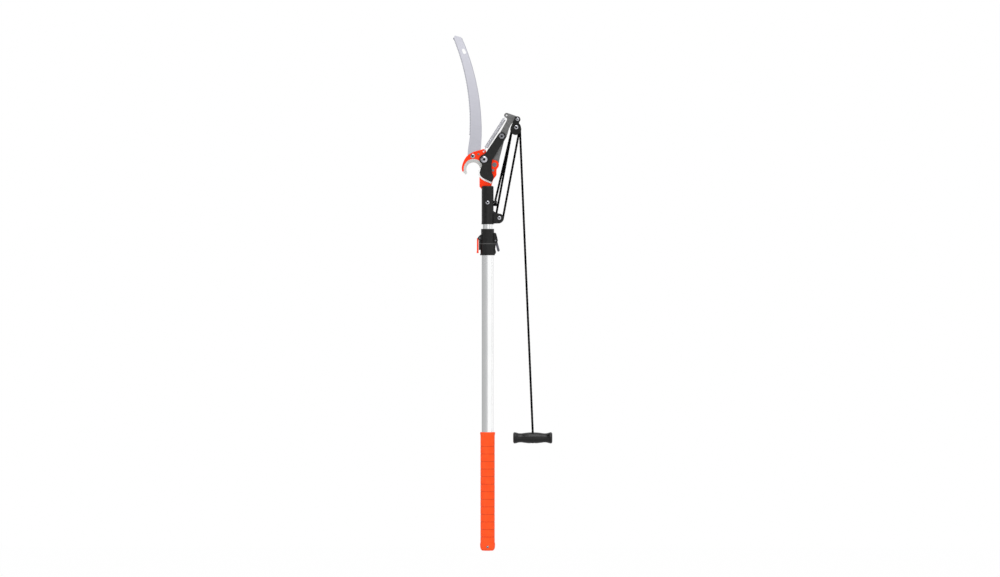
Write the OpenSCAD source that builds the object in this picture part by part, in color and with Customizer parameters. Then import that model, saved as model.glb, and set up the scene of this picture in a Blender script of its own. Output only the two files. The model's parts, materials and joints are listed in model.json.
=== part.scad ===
// Tree pruner pole: a telescopic pole with a hook and blade head worked by a rope tackle, and a curved saw.
// Millimetres. The pole axis is Z, the butt end is at the origin, the rope hangs on the +X side
// and the front of the head, where the blade lies, looks along -Y.

/* [Pole] */
// Outside diameter of the lower tube
outer_tube_d = 30.5; // [30:0.5:32]
// Wall of the lower tube
outer_tube_wall = 1.5; // [1.2:0.1:1.8]
// Length of the lower tube
outer_tube_len = 780; // [700:10:1200]
// Outside diameter of the upper tube
inner_tube_d = 25; // [24:0.25:25.5]
// Wall of the upper tube
inner_tube_wall = 1.3; // [1:0.1:1.6]
// Length of the upper tube that shows between collar and socket when the pole is closed
neck_gap = 12; // [6:1:60]
// Length of the guide plug at the foot of the upper tube
plug_len = 12; // [8:1:30]
// Length of the guide sleeve in the mouth of the lower tube
sleeve_len = 60; // [30:5:100]
// Spacing of the latch holes in the upper tube
latch_hole_pitch = 100; // [60:5:150]
// Number of latch holes in the upper tube
latch_holes = 7; // [2:1:8]

/* [Grip] */
// Length of the grip
grip_len = 308; // [260:1:400]
// Diameter of the grip along its middle
grip_d = 37; // [36:0.5:44]
// Diameter of the rolled rims at both ends of the grip
grip_rim_d = 39; // [38:0.5:46]
// Thickness of the solid end below the tube
grip_end_wall = 20; // [16:1:40]
// Number of grooves round the grip
grip_grooves = 13; // [4:1:14]
// Spacing of the grooves
grip_groove_pitch = 19.6; // [14:0.1:19.6]
// Depth of the grooves
grip_groove_depth = 0.9; // [0.4:0.1:1.4]
// Diameter of the hanging hole
hang_hole_d = 5.2; // [4:0.1:8]
// Height of the hanging hole above the butt end
hang_hole_z = 10.4; // [9:0.1:11]

/* [Lock collar] */
// Diameter of the wide skirt of the collar
collar_skirt_d = 37; // [36:0.5:42]
// Length of the skirt over the lower tube
collar_skirt_len = 32.5; // [30:0.5:60]
// Diameter of the neck of the collar
collar_neck_d = 34; // [33:0.5:36]
// Length of the neck above the lower tube
collar_neck_len = 36; // [34:0.5:60]
// Length of the lock lever below its pin
lock_lever_len = 39; // [32:1:44]
// Width of the lock lever
lock_lever_w = 18; // [14:0.5:24]
// Diameter of the lock lever's pin
lock_pin_d = 3.8; // [3:0.1:5]
// Length of the latch trigger below its pin
trigger_len = 30; // [24:1:34]
// Width of the latch trigger
trigger_w = 8; // [7:0.5:10]
// Diameter of the latch trigger's pin
trigger_pin_d = 4; // [3:0.1:4.2]

/* [Socket] */
// Diameter of the head socket
socket_d = 32; // [31:0.5:36]
// Length of the head socket
socket_len = 99.7; // [95:0.1:130]
// Thickness of the socket's roof
socket_roof = 12.7; // [10:0.1:16]
// Distance of the cross screw below the socket's top
cross_screw_drop = 43.4; // [36:0.1:48]
// Diameter of the cross screw
cross_screw_d = 6; // [4:0.5:7]

/* [Head] */
// Thickness of the hook plate
hook_t = 5; // [4:0.5:6]
// Radius of the hook's mouth
mouth_r = 17.8; // [15:0.1:20]
// Width of the ground bevel round the mouth
mouth_bevel_w = 7.6; // [4:0.1:8]
// Thickness of the cutting blade
blade_t = 4; // [3:0.5:5]
// Width of the ground bevel on the cutting blade
blade_bevel_w = 4; // [3:0.5:8]
// Thickness of the pull lever
lever_t = 4; // [3:0.5:5]
// Diameter of the pivot shanks of blade and lever
pivot_d = 8; // [6:0.5:9]
// Diameter of the blade pivot's head
pivot_head_d = 18; // [14:0.5:22]
// Diameter of the drive bolt that works the blade
drive_d = 8; // [6:0.5:8.5]
// Turn of the pull lever from rest to the closed blade, in degrees
lever_turn = 73; // [60:1:74]
// Turn of the blade over the same stroke, in degrees
blade_turn = 60; // [50:1:60]

/* [Saw] */
// Thickness of the saw blade
saw_t = 1.4; // [1:0.1:2]
// Spacing of the saw teeth
tooth_pitch = 4; // [3.5:0.1:8]
// Height of the saw teeth
tooth_h = 2.6; // [1:0.1:4]
// Diameter of the saw bolt
saw_bolt_d = 6; // [5:0.5:8]

/* [Tackle] */
// Diameter of the rope
rope_d = 5.6; // [4:0.1:5.8]
// Radius of the sheaves at the middle of the rope
sheave_pitch_r = 9.5; // [9:0.1:10]
// Width of a sheave
sheave_w = 7.9; // [7.5:0.1:8.5]
// Diameter of the sheave axles
axle_d = 6; // [5:0.5:7]
// Thickness of the block's cheeks
cheek_t = 2; // [1.5:0.5:3]
// Length of the pull handle
handle_len = 102; // [80:1:140]
// Diameter of the pull handle at its middle
handle_d = 28.8; // [28:0.2:36]
// Height of the block's axle above the middle of the pull handle
handle_fall = 807.1; // [500:0.1:900]
// Distance of the pull handle out from the block's axle
handle_out = 42.9; // [20:0.1:80]

/* [Return spring] */
// Outside diameter of the return spring
spring_d = 10.2; // [7.5:0.1:10.6]
// Diameter of the spring wire
spring_wire = 1.8; // [1.2:0.1:1.9]
// Number of curls
spring_curls = 36; // [20:1:38]

/* [Clearances] */
// Radial clearance of running fits
run_clear = 0.08; // [0.04:0.01:0.1]
// Radial clearance of fixed fits
snug = 0.03; // [0.02:0.01:0.06]
// Gap between the faces of pieces that move past each other
side_clear = 0.3; // [0.1:0.05:0.4]

/* [Hidden] */
$fn = 64;

// Heights along the pole
tube_start = grip_end_wall;
outer_top = tube_start + outer_tube_len;
collar_bottom = outer_top - collar_skirt_len;
collar_top = outer_top + collar_neck_len;
socket_bottom = collar_top + neck_gap;
socket_top = socket_bottom + socket_len;
plug_rest = 2;
inner_bottom = tube_start + plug_rest + plug_len;
inner_top = socket_top - socket_roof;
outer_r = outer_tube_d / 2;
outer_bore_r = outer_r - outer_tube_wall;
inner_r = inner_tube_d / 2;
inner_bore_r = inner_r - inner_tube_wall;

// Layers of the head along Y, from the front
hook_front = -hook_t / 2;
hook_back = hook_t / 2;
layer_gap = 0.1;
blade_back = hook_front - layer_gap;
blade_front = blade_back - blade_t;
lever_front = hook_back + layer_gap;
lever_back = lever_front + lever_t;
saw_back = hook_back + saw_t;
tackle_y = lever_front + lever_t / 2;
sheave_pitch_y = sheave_w + side_clear;
front_y = tackle_y - sheave_pitch_y / 2;
rear_y = tackle_y + sheave_pitch_y / 2;
cheek_gap = sheave_pitch_y + sheave_w + 2 * side_clear;
cheek_front = tackle_y - cheek_gap / 2 - cheek_t;
cheek_back = tackle_y + cheek_gap / 2 + cheek_t;

// Places in the head as X and height above the socket's top
blade_pivot = head([-9.1, 68.9]);
lever_pivot = head([17.9, 55.1]);
drive_at = head([36.9, 129]);
mouth_at = head([-37.5, 43.3]);
mouth_bevel_at = mouth_at + [0.9, 1.5];
spring_foot = head([-10.4, 89.4]);
spring_top = head([49.4, 183.6]);
saw_bolt_at = head([-38.5, 77.7]);
saw_rivet_at = head([-23.7, 82.4]);
stop_at = head([14.3, 40.6]);
block_pivot = head([77.5, 173.2]);
block_at = head([74.4, 152.4]);
stop_d = 6.5;
stop_shank_d = 4.5;
lever_lobe_r = 11.7;
eye_r = 6.5;
eye_hole_d = 4;

// Places on the socket and the collar
lower_at = [socket_d / 2 + 14.2, socket_bottom + 16.5];
knot_lug_at = [socket_d / 2 + 4, socket_top - 38];
knot_lug_h = 6.5;
knot_lug_half = 4.5;
cross_z = socket_top - cross_screw_drop;
lock_at = [-(collar_neck_d / 2 + 3.4), outer_top + 12.2];
trigger_at = [collar_skirt_d / 2 + 2, outer_top + 6];
nose_z = trigger_at[1] + 8.5;

// Middle of the pull handle, and the length of rope between it and the hanging pull line
handle_at = [block_at[0] + handle_out, front_y, block_at[1] - handle_fall];
handle_drop = 16;
// Overshoot of a cut past the face it leaves
cut = 1;
// Widths across flats of the small and large nuts
small_flats = 10;
large_flats = 13;

// Plane helpers
function head(p) = [p[0], p[1] + socket_top];
function heads(list) = [for (p = list) head(p)];
function polar(r, a) = [r * cos(a), r * sin(a)];
function arc(c, r, a0, a1, n) = [for (i = [0:n]) c + polar(r, a0 + (a1 - a0) * i / n)];
function turned(p, c, a) = c + [
    (p[0] - c[0]) * cos(a) + (p[1] - c[1]) * sin(a),
    (p[1] - c[1]) * cos(a) - (p[0] - c[0]) * sin(a)
];
function bearing(v) = atan2(v[1], v[0]);
function left_of(v) = [-v[1], v[0]] / norm(v);
// Smooth curve through points, each span cut into n steps
function spline_at(a, b, c, d, t) =
    0.5 * (2 * b + (c - a) * t + (2 * a - 5 * b + 4 * c - d) * t * t + (3 * b - a - 3 * c + d) * t * t * t);
function last(list) = len(list) - 1;
function reversed(list) = [for (i = [last(list):-1:0]) list[i]];
function curve(p, n) = concat([for (i = [0:last(p) - 1]) for (s = [0:n - 1])
    spline_at(p[max(i - 1, 0)], p[i], p[i + 1], p[min(i + 2, last(p))], s / n)], [p[last(p)]]);
// Direction of an outline at point i, and the outline moved to its left
function along(p, i) = p[min(i + 1, last(p))] - p[max(i - 1, 0)];
function moved_left(p, d) = [for (i = [0:last(p)]) p[i] + d * left_of(along(p, i))];
// Centre of the circle of radius r through p and q that lies to the left of the way from p to q
function bow_centre(p, q, r) = (p + q) / 2 + left_of(q - p) * sqrt(r * r - (q - p) * (q - p) / 4);
// Angle at which a line from point p touches the circle, on its left or right side
function touch_angle(p, c, r, side) = bearing(p - c) + side * acos(r / norm(p - c));

// Space helpers
function unit(v) = v / norm(v);
function lift(p, y) = [p[0], y, p[1]];
function heading(p, i) = unit(p[min(i + 1, last(p))] - p[max(i - 1, 0)]);
function squared(s, t) = unit(s - (s * t) * t);
// One side vector for each point of a path, carried along without twist
function side_vectors(p, s0) = [for (
    i = 0, s = squared(s0, heading(p, 0));
    i < len(p);
    i = i + 1, s = squared(s, heading(p, min(i, last(p))))
) s];
function ring(c, t, s, r, n) = let (b = cross(t, s)) [for (k = [0:n - 1])
    c + r * cos(360 * k / n) * s + r * sin(360 * k / n) * b];
function wall_faces(m, n) = [for (i = [0:m - 2]) for (k = [0:n - 1]) for (f = [0, 1]) let (
    a = i * n + k,
    b = i * n + (k + 1) % n
) f == 0 ? [a, a + n, b + n] : [a, b + n, b]];
function cap_faces(m, n) = concat(
    [for (k = [1:n - 2]) [0, k, k + 1]],
    [for (k = [1:n - 2]) [(m - 1) * n, (m - 1) * n + k + 1, (m - 1) * n + k]]
);

// Tube of diameter d and n sides swept along a path
module swept_tube(path, d, n, side) {
    s = side_vectors(path, side);
    rings = [for (i = [0:last(path)]) each ring(path[i], heading(path, i), s[i], d / 2, n)];
    polyhedron(rings, concat(wall_faces(len(path), n), cap_faces(len(path), n)), convexity = 10);
}

// Plate with an XZ outline, from y0 back to y1
module plate(outline, y0, y1) {
    translate([0, y1, 0])
        rotate([90, 0, 0])
            linear_extrude(y1 - y0)
                polygon(outline);
}

// Round bar along Y, from y0 back to y1
module bar(at, d, y0, y1) {
    translate([at[0], y1, at[1]])
        rotate([90, 0, 0])
            cylinder(d = d, h = y1 - y0);
}

// Hexagon along Y, measured across its flats
module hexagon(at, flats, y0, y1) {
    translate([at[0], y1, at[1]])
        rotate([90, 0, 0])
            cylinder(d = flats / cos(30), h = y1 - y0, $fn = 6);
}

// Domed head on the face at y; facing -1 looks to the front, 1 to the back
module dome(at, d, h, y, facing) {
    lip = h / 3;
    crown = [for (a = [0:15:90]) [d / 2 * cos(a), lip + (h - lip) * sin(a)]];
    translate([at[0], y, at[1]])
        rotate([-90 * facing, 0, 0])
            rotate_extrude()
                polygon(concat([[0, 0], [d / 2, 0]], crown));
}

// Part of a ring round Y, as a rope lies on a sheave, from angle a0 to a1
module rope_bend(at, y, a0, a1) {
    translate([at[0], y, at[1]])
        rotate([90, 0, 0])
            rotate([0, 0, a0])
                rotate_extrude(angle = a1 - a0)
                    translate([sheave_pitch_r, 0])
                        circle(d = rope_d, $fn = 24);
}

// Straight rope between two points, held back a little at each end
module rope_run(from, to, back0, back1) {
    run = to - from;
    dir = unit(run);
    translate(from + back0 * dir)
        rotate([0, acos(dir[2]), atan2(dir[1], dir[0])])
            cylinder(d = rope_d, h = norm(run) - back0 - back1, $fn = 24);
}

// Pole

module outer_tube() {
    color("silver")
    translate([0, 0, tube_start])
        difference() {
            cylinder(r = outer_r, h = outer_tube_len);
            translate([0, 0, -cut])
                cylinder(r = outer_bore_r, h = outer_tube_len + 2 * cut);
        }
}

grip_foot_r = 13;
grip_foot_h = 14;
grip_rim_h = 9;
grip_rim_r = grip_rim_d / 2;
grip_side_r = grip_d / 2;
grip_chamfer = 1.5;
grip_top_groove = 37;
groove_half = 1.2;
groove_tops = [for (i = [0:grip_grooves - 1]) grip_len - grip_top_groove - i * grip_groove_pitch];
foot_round = [for (a = [-75:15:0])
    [grip_foot_r + (grip_rim_r - grip_foot_r) * cos(a), grip_foot_h * (1 + sin(a))]];
// Half profile of the grip, from the butt up its outside
grip_profile = concat(
    [[0, 0], [grip_foot_r, 0]],
    foot_round,
    [[grip_rim_r, grip_foot_h + grip_rim_h / 2], [grip_side_r, grip_foot_h + grip_rim_h]],
    [for (i = [grip_grooves - 1:-1:0]) for (s = [-1, 0, 1])
        [grip_side_r - (s == 0 ? grip_groove_depth : 0), groove_tops[i] + s * groove_half]],
    [[grip_side_r, grip_len - grip_rim_h], [grip_rim_r, grip_len - grip_rim_h / 2]],
    [[grip_rim_r, grip_len - grip_chamfer], [grip_rim_r - grip_chamfer, grip_len]],
    [[outer_r + snug, grip_len], [outer_r + snug, tube_start], [0, tube_start]]
);

module grip() {
    color("orangered")
    difference() {
        rotate_extrude($fn = 96)
            polygon(grip_profile);
        bar([0, hang_hole_z], hang_hole_d, -grip_rim_d, grip_rim_d);
    }
}

module guide_sleeve() {
    color("dimgray")
    translate([0, 0, outer_top - sleeve_len])
        difference() {
            cylinder(r = outer_bore_r - snug, h = sleeve_len);
            translate([0, 0, -cut])
                cylinder(r = inner_r + run_clear, h = sleeve_len + 2 * cut);
        }
}

module inner_tube() {
    color("silver")
    difference() {
        translate([0, 0, inner_bottom])
            cylinder(r = inner_r, h = inner_top - inner_bottom);
        translate([0, 0, inner_bottom - cut])
            cylinder(r = inner_bore_r, h = inner_top - inner_bottom + 2 * cut);
        bar([0, cross_z], cross_screw_d + 2 * snug, -inner_tube_d, inner_tube_d);
        for (i = [0:latch_holes - 1])
            translate([0, 0, nose_z - i * latch_hole_pitch])
                rotate([0, 90, 0])
                    cylinder(d = latch_hole_d, h = inner_tube_d);
    }
}

module guide_plug() {
    spigot_len = 14;
    color("dimgray")
    translate([0, 0, inner_bottom - plug_len]) {
        cylinder(r = outer_bore_r - run_clear, h = plug_len);
        cylinder(r = inner_bore_r - snug, h = plug_len + spigot_len);
    }
}

// Lock collar with its lever and latch

lock_hub_r = 4.7;
lock_ear_t = 3;
lock_hub_w = 12;
lock_ear_y = lock_hub_w / 2 + side_clear;
lock_plate_t = 4.4;
lock_plate_x = lock_at[0] - 3;
lock_ear_r = 5.1;
lock_foot = 8;
lock_lip = 0.6;
lock_lip_h = 5;
cushion_gap = 0.8;
cushion_len = 31;
neck_step = 1.5;
collar_rim = 1;
collar_rim_h = 4.5;
trigger_hub_r = 4;
trigger_t = 6.6;
trigger_lean = 15;
trigger_set = 0.8;
arm_in = 3;
arm_out = 2;
nose_h = 5;
nose_w = 5.6;
latch_hole_d = nose_h + 1;
window_room = 2;
latch_ear_t = 2.7;
latch_ear_y = trigger_w / 2 + side_clear;

module lock_collar() {
    color("#2d2d2d")
    difference() {
        union() {
            translate([0, 0, collar_bottom])
                cylinder(d = collar_skirt_d, h = collar_skirt_len - 2 * neck_step);
            translate([0, 0, collar_bottom])
                cylinder(d = collar_skirt_d + 2 * collar_rim, h = collar_rim_h);
            translate([0, 0, outer_top - 2 * neck_step])
                cylinder(d1 = collar_skirt_d, d2 = collar_neck_d, h = neck_step);
            translate([0, 0, outer_top - neck_step])
                cylinder(d = collar_neck_d, h = collar_neck_len + neck_step);
            lock_seat();
            latch_bracket();
        }
        translate([0, 0, collar_bottom - cut])
            cylinder(r = outer_r + snug, h = collar_skirt_len + cut);
        translate([0, 0, outer_top - cut])
            cylinder(r = inner_r + run_clear, h = collar_neck_len + 2 * cut);
        bar(lock_at, 2 * (lock_hub_r + side_clear), -lock_ear_y, lock_ear_y);
        bar(trigger_at, 2 * (trigger_hub_r + side_clear), -latch_ear_y, latch_ear_y);
        bar(lock_at, lock_pin_d + 2 * snug, -collar_neck_d, collar_neck_d);
        bar(trigger_at, trigger_pin_d + 2 * snug, -collar_neck_d, collar_neck_d);
        latch_pocket();
    }
}

// Two ears for the lock pin and the pad that the lever folds against
module lock_seat() {
    root_x = -inner_r - 2;
    shoulder = lock_at + [2.4, 9.2];
    outline = concat(
        arc(lock_at, lock_ear_r, 270, 130, 10),
        [shoulder, [root_x, shoulder[1]], [root_x, lock_at[1] - lock_ear_r]]
    );
    for (y = [-lock_ear_y - lock_ear_t, lock_ear_y])
        plate(outline, y, y + lock_ear_t);
    translate([lock_plate_x + cushion_gap, -lock_hub_w / 2, lock_at[1] - cushion_len])
        cube([-lock_plate_x - cushion_gap - outer_r - cut, lock_hub_w, cushion_len - lock_ear_r]);
}

// Two ears for the trigger, with the solid web between them cut away later
module latch_bracket() {
    x0 = outer_r + 0.5;
    ear_half = latch_ear_y + latch_ear_t;
    ear_foot = 35;
    ear_head = 20;
    outline = [
        [x0 - trigger_at[0], -ear_foot], [0.5, -ear_foot + 0.5], [1.5, -ear_foot + 5], [-0.5, -22], [1, -9],
        [4.5, -5], [6.3, 0], [5, 6], [2, ear_head - 2], [-0.5, ear_head], [x0 - trigger_at[0], ear_head]
    ];
    plate([for (p = outline) trigger_at + p], -ear_half, ear_half);
}

// Room for the trigger between its ears, and the window for its nose
module latch_pocket() {
    wall_x = collar_neck_d / 2 + 0.3;
    translate([wall_x, -latch_ear_y, trigger_at[1] - 40])
        cube([30, 2 * latch_ear_y, 70]);
    translate([inner_r - 1, -nose_w / 2 - side_clear, nose_z - nose_h / 2 - window_room])
        cube([collar_neck_d / 2, nose_w + 2 * side_clear, nose_h + 2 * window_room]);
}

module lock_pin() {
    half = lock_ear_y + lock_ear_t;
    color("silver")
    bar(lock_at, lock_pin_d, -half, half);
}

module lock_lever() {
    tip_z = lock_at[1] - lock_lever_len;
    plate_out = lock_plate_x - lock_plate_t;
    color("orangered")
    difference() {
        union() {
            bar(lock_at, 2 * lock_hub_r, -lock_hub_w / 2, lock_hub_w / 2);
            translate([plate_out, -lock_hub_w / 2, lock_at[1] - lock_foot - cut])
                cube([lock_plate_t, lock_hub_w, lock_foot + cut]);
            translate([plate_out, -lock_lever_w / 2, tip_z])
                cube([lock_plate_t, lock_lever_w, lock_lever_len - lock_foot]);
            translate([plate_out - lock_lip, -lock_lever_w / 2, tip_z])
                cube([lock_plate_t + lock_lip, lock_lever_w, lock_lip_h]);
        }
        bar(lock_at, lock_pin_d + 2 * run_clear, -lock_lever_w, lock_lever_w);
    }
}

module trigger_pin() {
    half = latch_ear_y + latch_ear_t;
    color("silver")
    bar(trigger_at, trigger_pin_d, -half, half);
}

latch_wire = 0.7;
latch_curls = 2;
latch_coil_y = 0.9;
latch_coil_r = trigger_pin_d / 2 + latch_wire / 2 + 0.5;
latch_room_d = 2 * (latch_coil_r + latch_wire / 2 + side_clear);
latch_pitch = (trigger_w / 2 - latch_coil_y - latch_wire - layer_gap) / latch_curls;

module latch_trigger() {
    hub_half = trigger_w / 2;
    nose_x = inner_r + 2 * side_clear;
    color("#5d5c64")
    difference() {
        union() {
            bar(trigger_at, 2 * trigger_hub_r, -hub_half, hub_half);
            translate([trigger_at[0], 0, trigger_at[1]])
                rotate([0, -trigger_lean, 0]) {
                    translate([-trigger_t / 2 + trigger_set, -hub_half, -trigger_len + trigger_t / 2])
                        cube([trigger_t, trigger_w, trigger_len - trigger_t / 2]);
                    bar([trigger_set, -trigger_len + trigger_t / 2], trigger_t, -hub_half, hub_half);
                }
            translate([trigger_at[0] - arm_in, -nose_w / 2, trigger_at[1]])
                cube([arm_in + arm_out, nose_w, nose_z + nose_h / 2 - trigger_at[1]]);
            translate([nose_x, -nose_w / 2, nose_z - nose_h / 2])
                cube([trigger_at[0] - nose_x, nose_w, nose_h]);
        }
        bar(trigger_at, trigger_pin_d + 2 * run_clear, -trigger_w, trigger_w);
        bar(trigger_at, latch_room_d, latch_coil_y - side_clear, trigger_w);
    }
}

// Coil round the trigger's pin
latch_path = [for (i = [0:8 * latch_curls]) lift(
    trigger_at + polar(latch_coil_r, 45 * i),
    latch_coil_y + latch_wire / 2 + latch_pitch * i / 8
)];

module latch_spring() {
    echo(latch_spring_least_gap = least_gap(latch_path, latch_wire));
    color("silver")
    swept_tube(latch_path, latch_wire, 6, [1, 0, 0]);
}

// Head socket

ear_r = 12;
ear_droop = 2.1;
lower_cheek_t = 3;
lower_gap = sheave_w + 2 * side_clear;
ear_front = tackle_y - lower_gap / 2 - lower_cheek_t;
ear_back = tackle_y + lower_gap / 2 + lower_cheek_t;
cross_head_d = 10.5;
cross_well_d = 14.6;
cross_well_y = -inner_r - 1.2;
cross_socket = 4;
cross_nut_h = 4;
lower_ear_h = 36;

module socket() {
    knot_hole_d = rope_d + 2 * side_clear;
    round_r = 3;
    color("#2e2e2e")
    difference() {
        union() {
            translate([0, 0, socket_bottom])
                rotate_extrude()
                    polygon(concat(
                        [[0, 0], [socket_d / 2, 0], [socket_d / 2, 4], [socket_d / 2 - 0.4, 5]],
                        arc([socket_d / 2 - 0.4 - round_r, socket_len - round_r], round_r, 0, 90, 6),
                        [[0, socket_len]]
                    ));
            lower_ears();
            translate([inner_r + cut, rear_y - knot_lug_half, knot_lug_at[1] - knot_lug_h])
                cube([knot_lug_at[0] + knot_lug_half - inner_r - cut, 2 * knot_lug_half, knot_lug_h]);
        }
        translate([0, 0, socket_bottom - cut])
            cylinder(r = inner_r + snug, h = inner_top - socket_bottom + cut);
        translate([-socket_d, hook_front - snug, inner_top - cut])
            cube([socket_d + tang_right + snug, hook_t + 2 * snug, socket_roof + 2 * cut]);
        translate([lower_at[0] - ear_r - 2.5, tackle_y - lower_gap / 2, socket_bottom - cut])
            cube([3 * ear_r, lower_gap, lower_ear_h + 2 * cut]);
        bar(lower_at, axle_d + 2 * snug, -socket_d, socket_d);
        translate([knot_lug_at[0], rear_y, knot_lug_at[1] - knot_lug_h - cut])
            cylinder(d = knot_hole_d, h = knot_lug_h + 2 * cut);
        bar([0, cross_z], cross_screw_d + 2 * snug, -socket_d, socket_d);
        bar([0, cross_z], cross_well_d, -socket_d, cross_well_y);
        hexagon([0, cross_z], small_flats + 2 * layer_gap, -cross_well_y, socket_d);
    }
}

// Ears that carry the lower sheave
module lower_ears() {
    x0 = inner_r + 0.6;
    top = socket_bottom + lower_ear_h;
    plate(concat(
        [[x0, socket_bottom + 2]],
        [for (a = [-90:10:40]) lower_at + polar(ear_r + ear_droop * pow(min(a, 0) / 90, 2), a)],
        [[socket_d / 2 + 5, top - 5], [x0, top]]
    ), ear_front, ear_back);
}

module cross_screw() {
    color("silver")
    difference() {
        union() {
            bar([0, cross_z], cross_screw_d, cross_well_y, -cross_well_y + cross_nut_h + 0.5);
            dome([0, cross_z], cross_head_d, 4, cross_well_y, -1);
        }
        hexagon([0, cross_z], cross_socket, cross_well_y - 5, cross_well_y - 1.2);
    }
}

module cross_nut() {
    color("silver")
    difference() {
        hexagon([0, cross_z], small_flats, -cross_well_y, -cross_well_y + cross_nut_h);
        bar([0, cross_z], cross_screw_d + 2 * snug, 0, socket_d);
    }
}

module lower_axle() {
    color("silver") {
        bar(lower_at, axle_d, ear_front, ear_back);
        dome(lower_at, 10.5, 3, ear_front, -1);
        dome(lower_at, 9, 2, ear_back, 1);
    }
}

// Hook plate

tang_right = 10.4;
tang_half = inner_bore_r - 1.4;
tang_foot = cross_z - 13;
// Share of the hook's thickness that the bevel takes at the mouth
bevel_depth = 0.6;
hook_outline = concat(
    [[-tang_half, tang_foot], [-tang_half, inner_top + 1]],
    heads([[-16.4, -7], [-21.1, -1.7], [-21.1, 23.1]]),
    [mouth_at + [16.4, -1], mouth_at, mouth_at + polar(mouth_r / 2, 200)],
    heads([[-54.9, 32.5], [-56.4, 29.1]]),
    curve(heads([[-66.3, 39], [-67.1, 48.6], [-62.9, 63.2], [-53.6, 77.7], [-39, 87.3], [-24.7, 91.7]]), 5),
    arc(spring_foot, eye_r, 105, -5, 9),
    heads([[-2, 84], [5, 76]]),
    arc(lever_pivot, lever_lobe_r, 95, -25, 12),
    curve(heads([[23.4, 42.6], [23.1, 34], [22.6, 27.3], [15.1, 17.2], [11.4, 5.5], [tang_right, 1]]), 3),
    [[tang_right, inner_top + 1], [tang_half, inner_top + 1], [tang_half, tang_foot]]
);

module hook_plate() {
    color("#e84627")
    difference() {
        plate(hook_outline, hook_front, hook_back);
        bar(mouth_at, 2 * mouth_r, -hook_t, hook_t);
        mouth_bevel();
        bar(blade_pivot, pivot_d + 2 * snug, -hook_t, hook_t);
        bar(lever_pivot, pivot_d + 2 * snug, -hook_t, hook_t);
        rivet_cone(snug);
        bar(stop_at, stop_shank_d + 2 * snug, -hook_t, hook_t);
        bar(spring_foot, eye_hole_d, -hook_t, hook_t);
        bar(saw_bolt_at, saw_bolt_d + 2 * snug, -hook_t, hook_t);
        bar(saw_rivet_at, saw_rivet_d + 2 * snug, -hook_t, hook_t);
        bar([0, cross_z], cross_screw_d + 2 * snug, -hook_t, hook_t);
    }
}

// Cone that grinds the front of the mouth, narrower on the hook's arm
module mouth_bevel() {
    front_r = mouth_r + mouth_bevel_w;
    slope = mouth_bevel_w / (bevel_depth * hook_t);
    translate([mouth_bevel_at[0], hook_front - cut, mouth_bevel_at[1]])
        rotate([-90, 0, 0])
            cylinder(r1 = front_r + slope * cut, r2 = front_r - slope * hook_t, h = hook_t + cut);
}

module stop_pin() {
    color("silver") {
        bar(stop_at, stop_d, blade_front, hook_front);
        bar(stop_at, stop_shank_d, hook_front - cut, hook_back);
    }
}

// Saw

saw_rivet_d = 4;
saw_rivet_head_d = 5.6;
// The toothed edge and the back are bows of these radii between their ends, from the pole to the tip
saw_edge_r = 569;
saw_edge_root = [-48.5, 131.6];
saw_edge_tip = [-90, 383.2];
saw_edge_c = bow_centre(saw_edge_root, saw_edge_tip, saw_edge_r);
saw_back_r = 600;
saw_back_root = [-17, 100.4];
saw_back_tip = [-59.2, 367.1];
saw_back_c = bow_centre(saw_back_root, saw_back_tip, saw_back_r);
tooth_from = bearing(saw_edge_root - saw_edge_c);
tooth_to = bearing(saw_edge_tip - saw_edge_c);
tooth_step = tooth_pitch / saw_edge_r * 180 / PI;
tooth_count = floor((tooth_to - tooth_from) / tooth_step);
// Pull teeth, raked back towards the pole, along the hollow edge
saw_teeth = [for (i = [0:tooth_count - 1]) for (s = [0, 1])
    saw_edge_c + polar(saw_edge_r + (s == 0 ? tooth_h : 0), tooth_from + (i + 0.65 * s) * tooth_step)];
saw_outline = concat(
    [[-50, 74], [-52, 83], [-51, 95]],
    saw_teeth,
    [saw_edge_tip, [-85, 391.3], [-69.4, 387.1], [-66, 383.3]],
    arc(saw_back_c, saw_back_r, bearing(saw_back_tip - saw_back_c), bearing(saw_back_root - saw_back_c), 40),
    [[-19, 88], [-20, 76], [-28, 69], [-42, 69]]
);
saw_slot_at = head([-61.4, 350]);
saw_slot_lean = 26;
saw_slot_w = 8;
saw_slot_half = 3.2;

module saw_blade() {
    color("#c6c6d2")
    difference() {
        plate(heads(saw_outline), hook_back, saw_back);
        bar(saw_bolt_at, saw_bolt_d + 2 * snug, -saw_back, 2 * saw_back);
        bar(saw_rivet_at, saw_rivet_d + 2 * snug, -saw_back, 2 * saw_back);
        for (s = [-saw_slot_half, saw_slot_half])
            bar(saw_slot_at + polar(s, saw_slot_lean + 90), saw_slot_w, -saw_back, 2 * saw_back);
        translate(lift(saw_slot_at, 0))
            rotate([0, -saw_slot_lean, 0])
                cube([saw_slot_w, 4 * saw_back, 2 * saw_slot_half], center = true);
    }
}

module saw_bolt() {
    color("silver") {
        dome(saw_bolt_at, 12, 3.6, hook_front, -1);
        bar(saw_bolt_at, saw_bolt_d, hook_front, saw_back + 7);
    }
}

module saw_nut() {
    color("silver")
    difference() {
        hexagon(saw_bolt_at, small_flats, saw_back, saw_back + 5);
        bar(saw_bolt_at, saw_bolt_d + 2 * snug, 0, 4 * saw_back);
    }
}

module saw_rivet() {
    color("gray") {
        dome(saw_rivet_at, saw_rivet_head_d, 1, hook_front, -1);
        bar(saw_rivet_at, saw_rivet_d, hook_front, saw_back);
        dome(saw_rivet_at, saw_rivet_head_d, 1, saw_back, 1);
    }
}

// Cutting blade and its pivot

blade_edge = curve(heads([
    [9.8, 6], [-2.3, 10.7], [-13.5, 16.4], [-21.3, 23.8], [-24.6, 34.5], [-21.6, 47.5]
]), 6);
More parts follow.
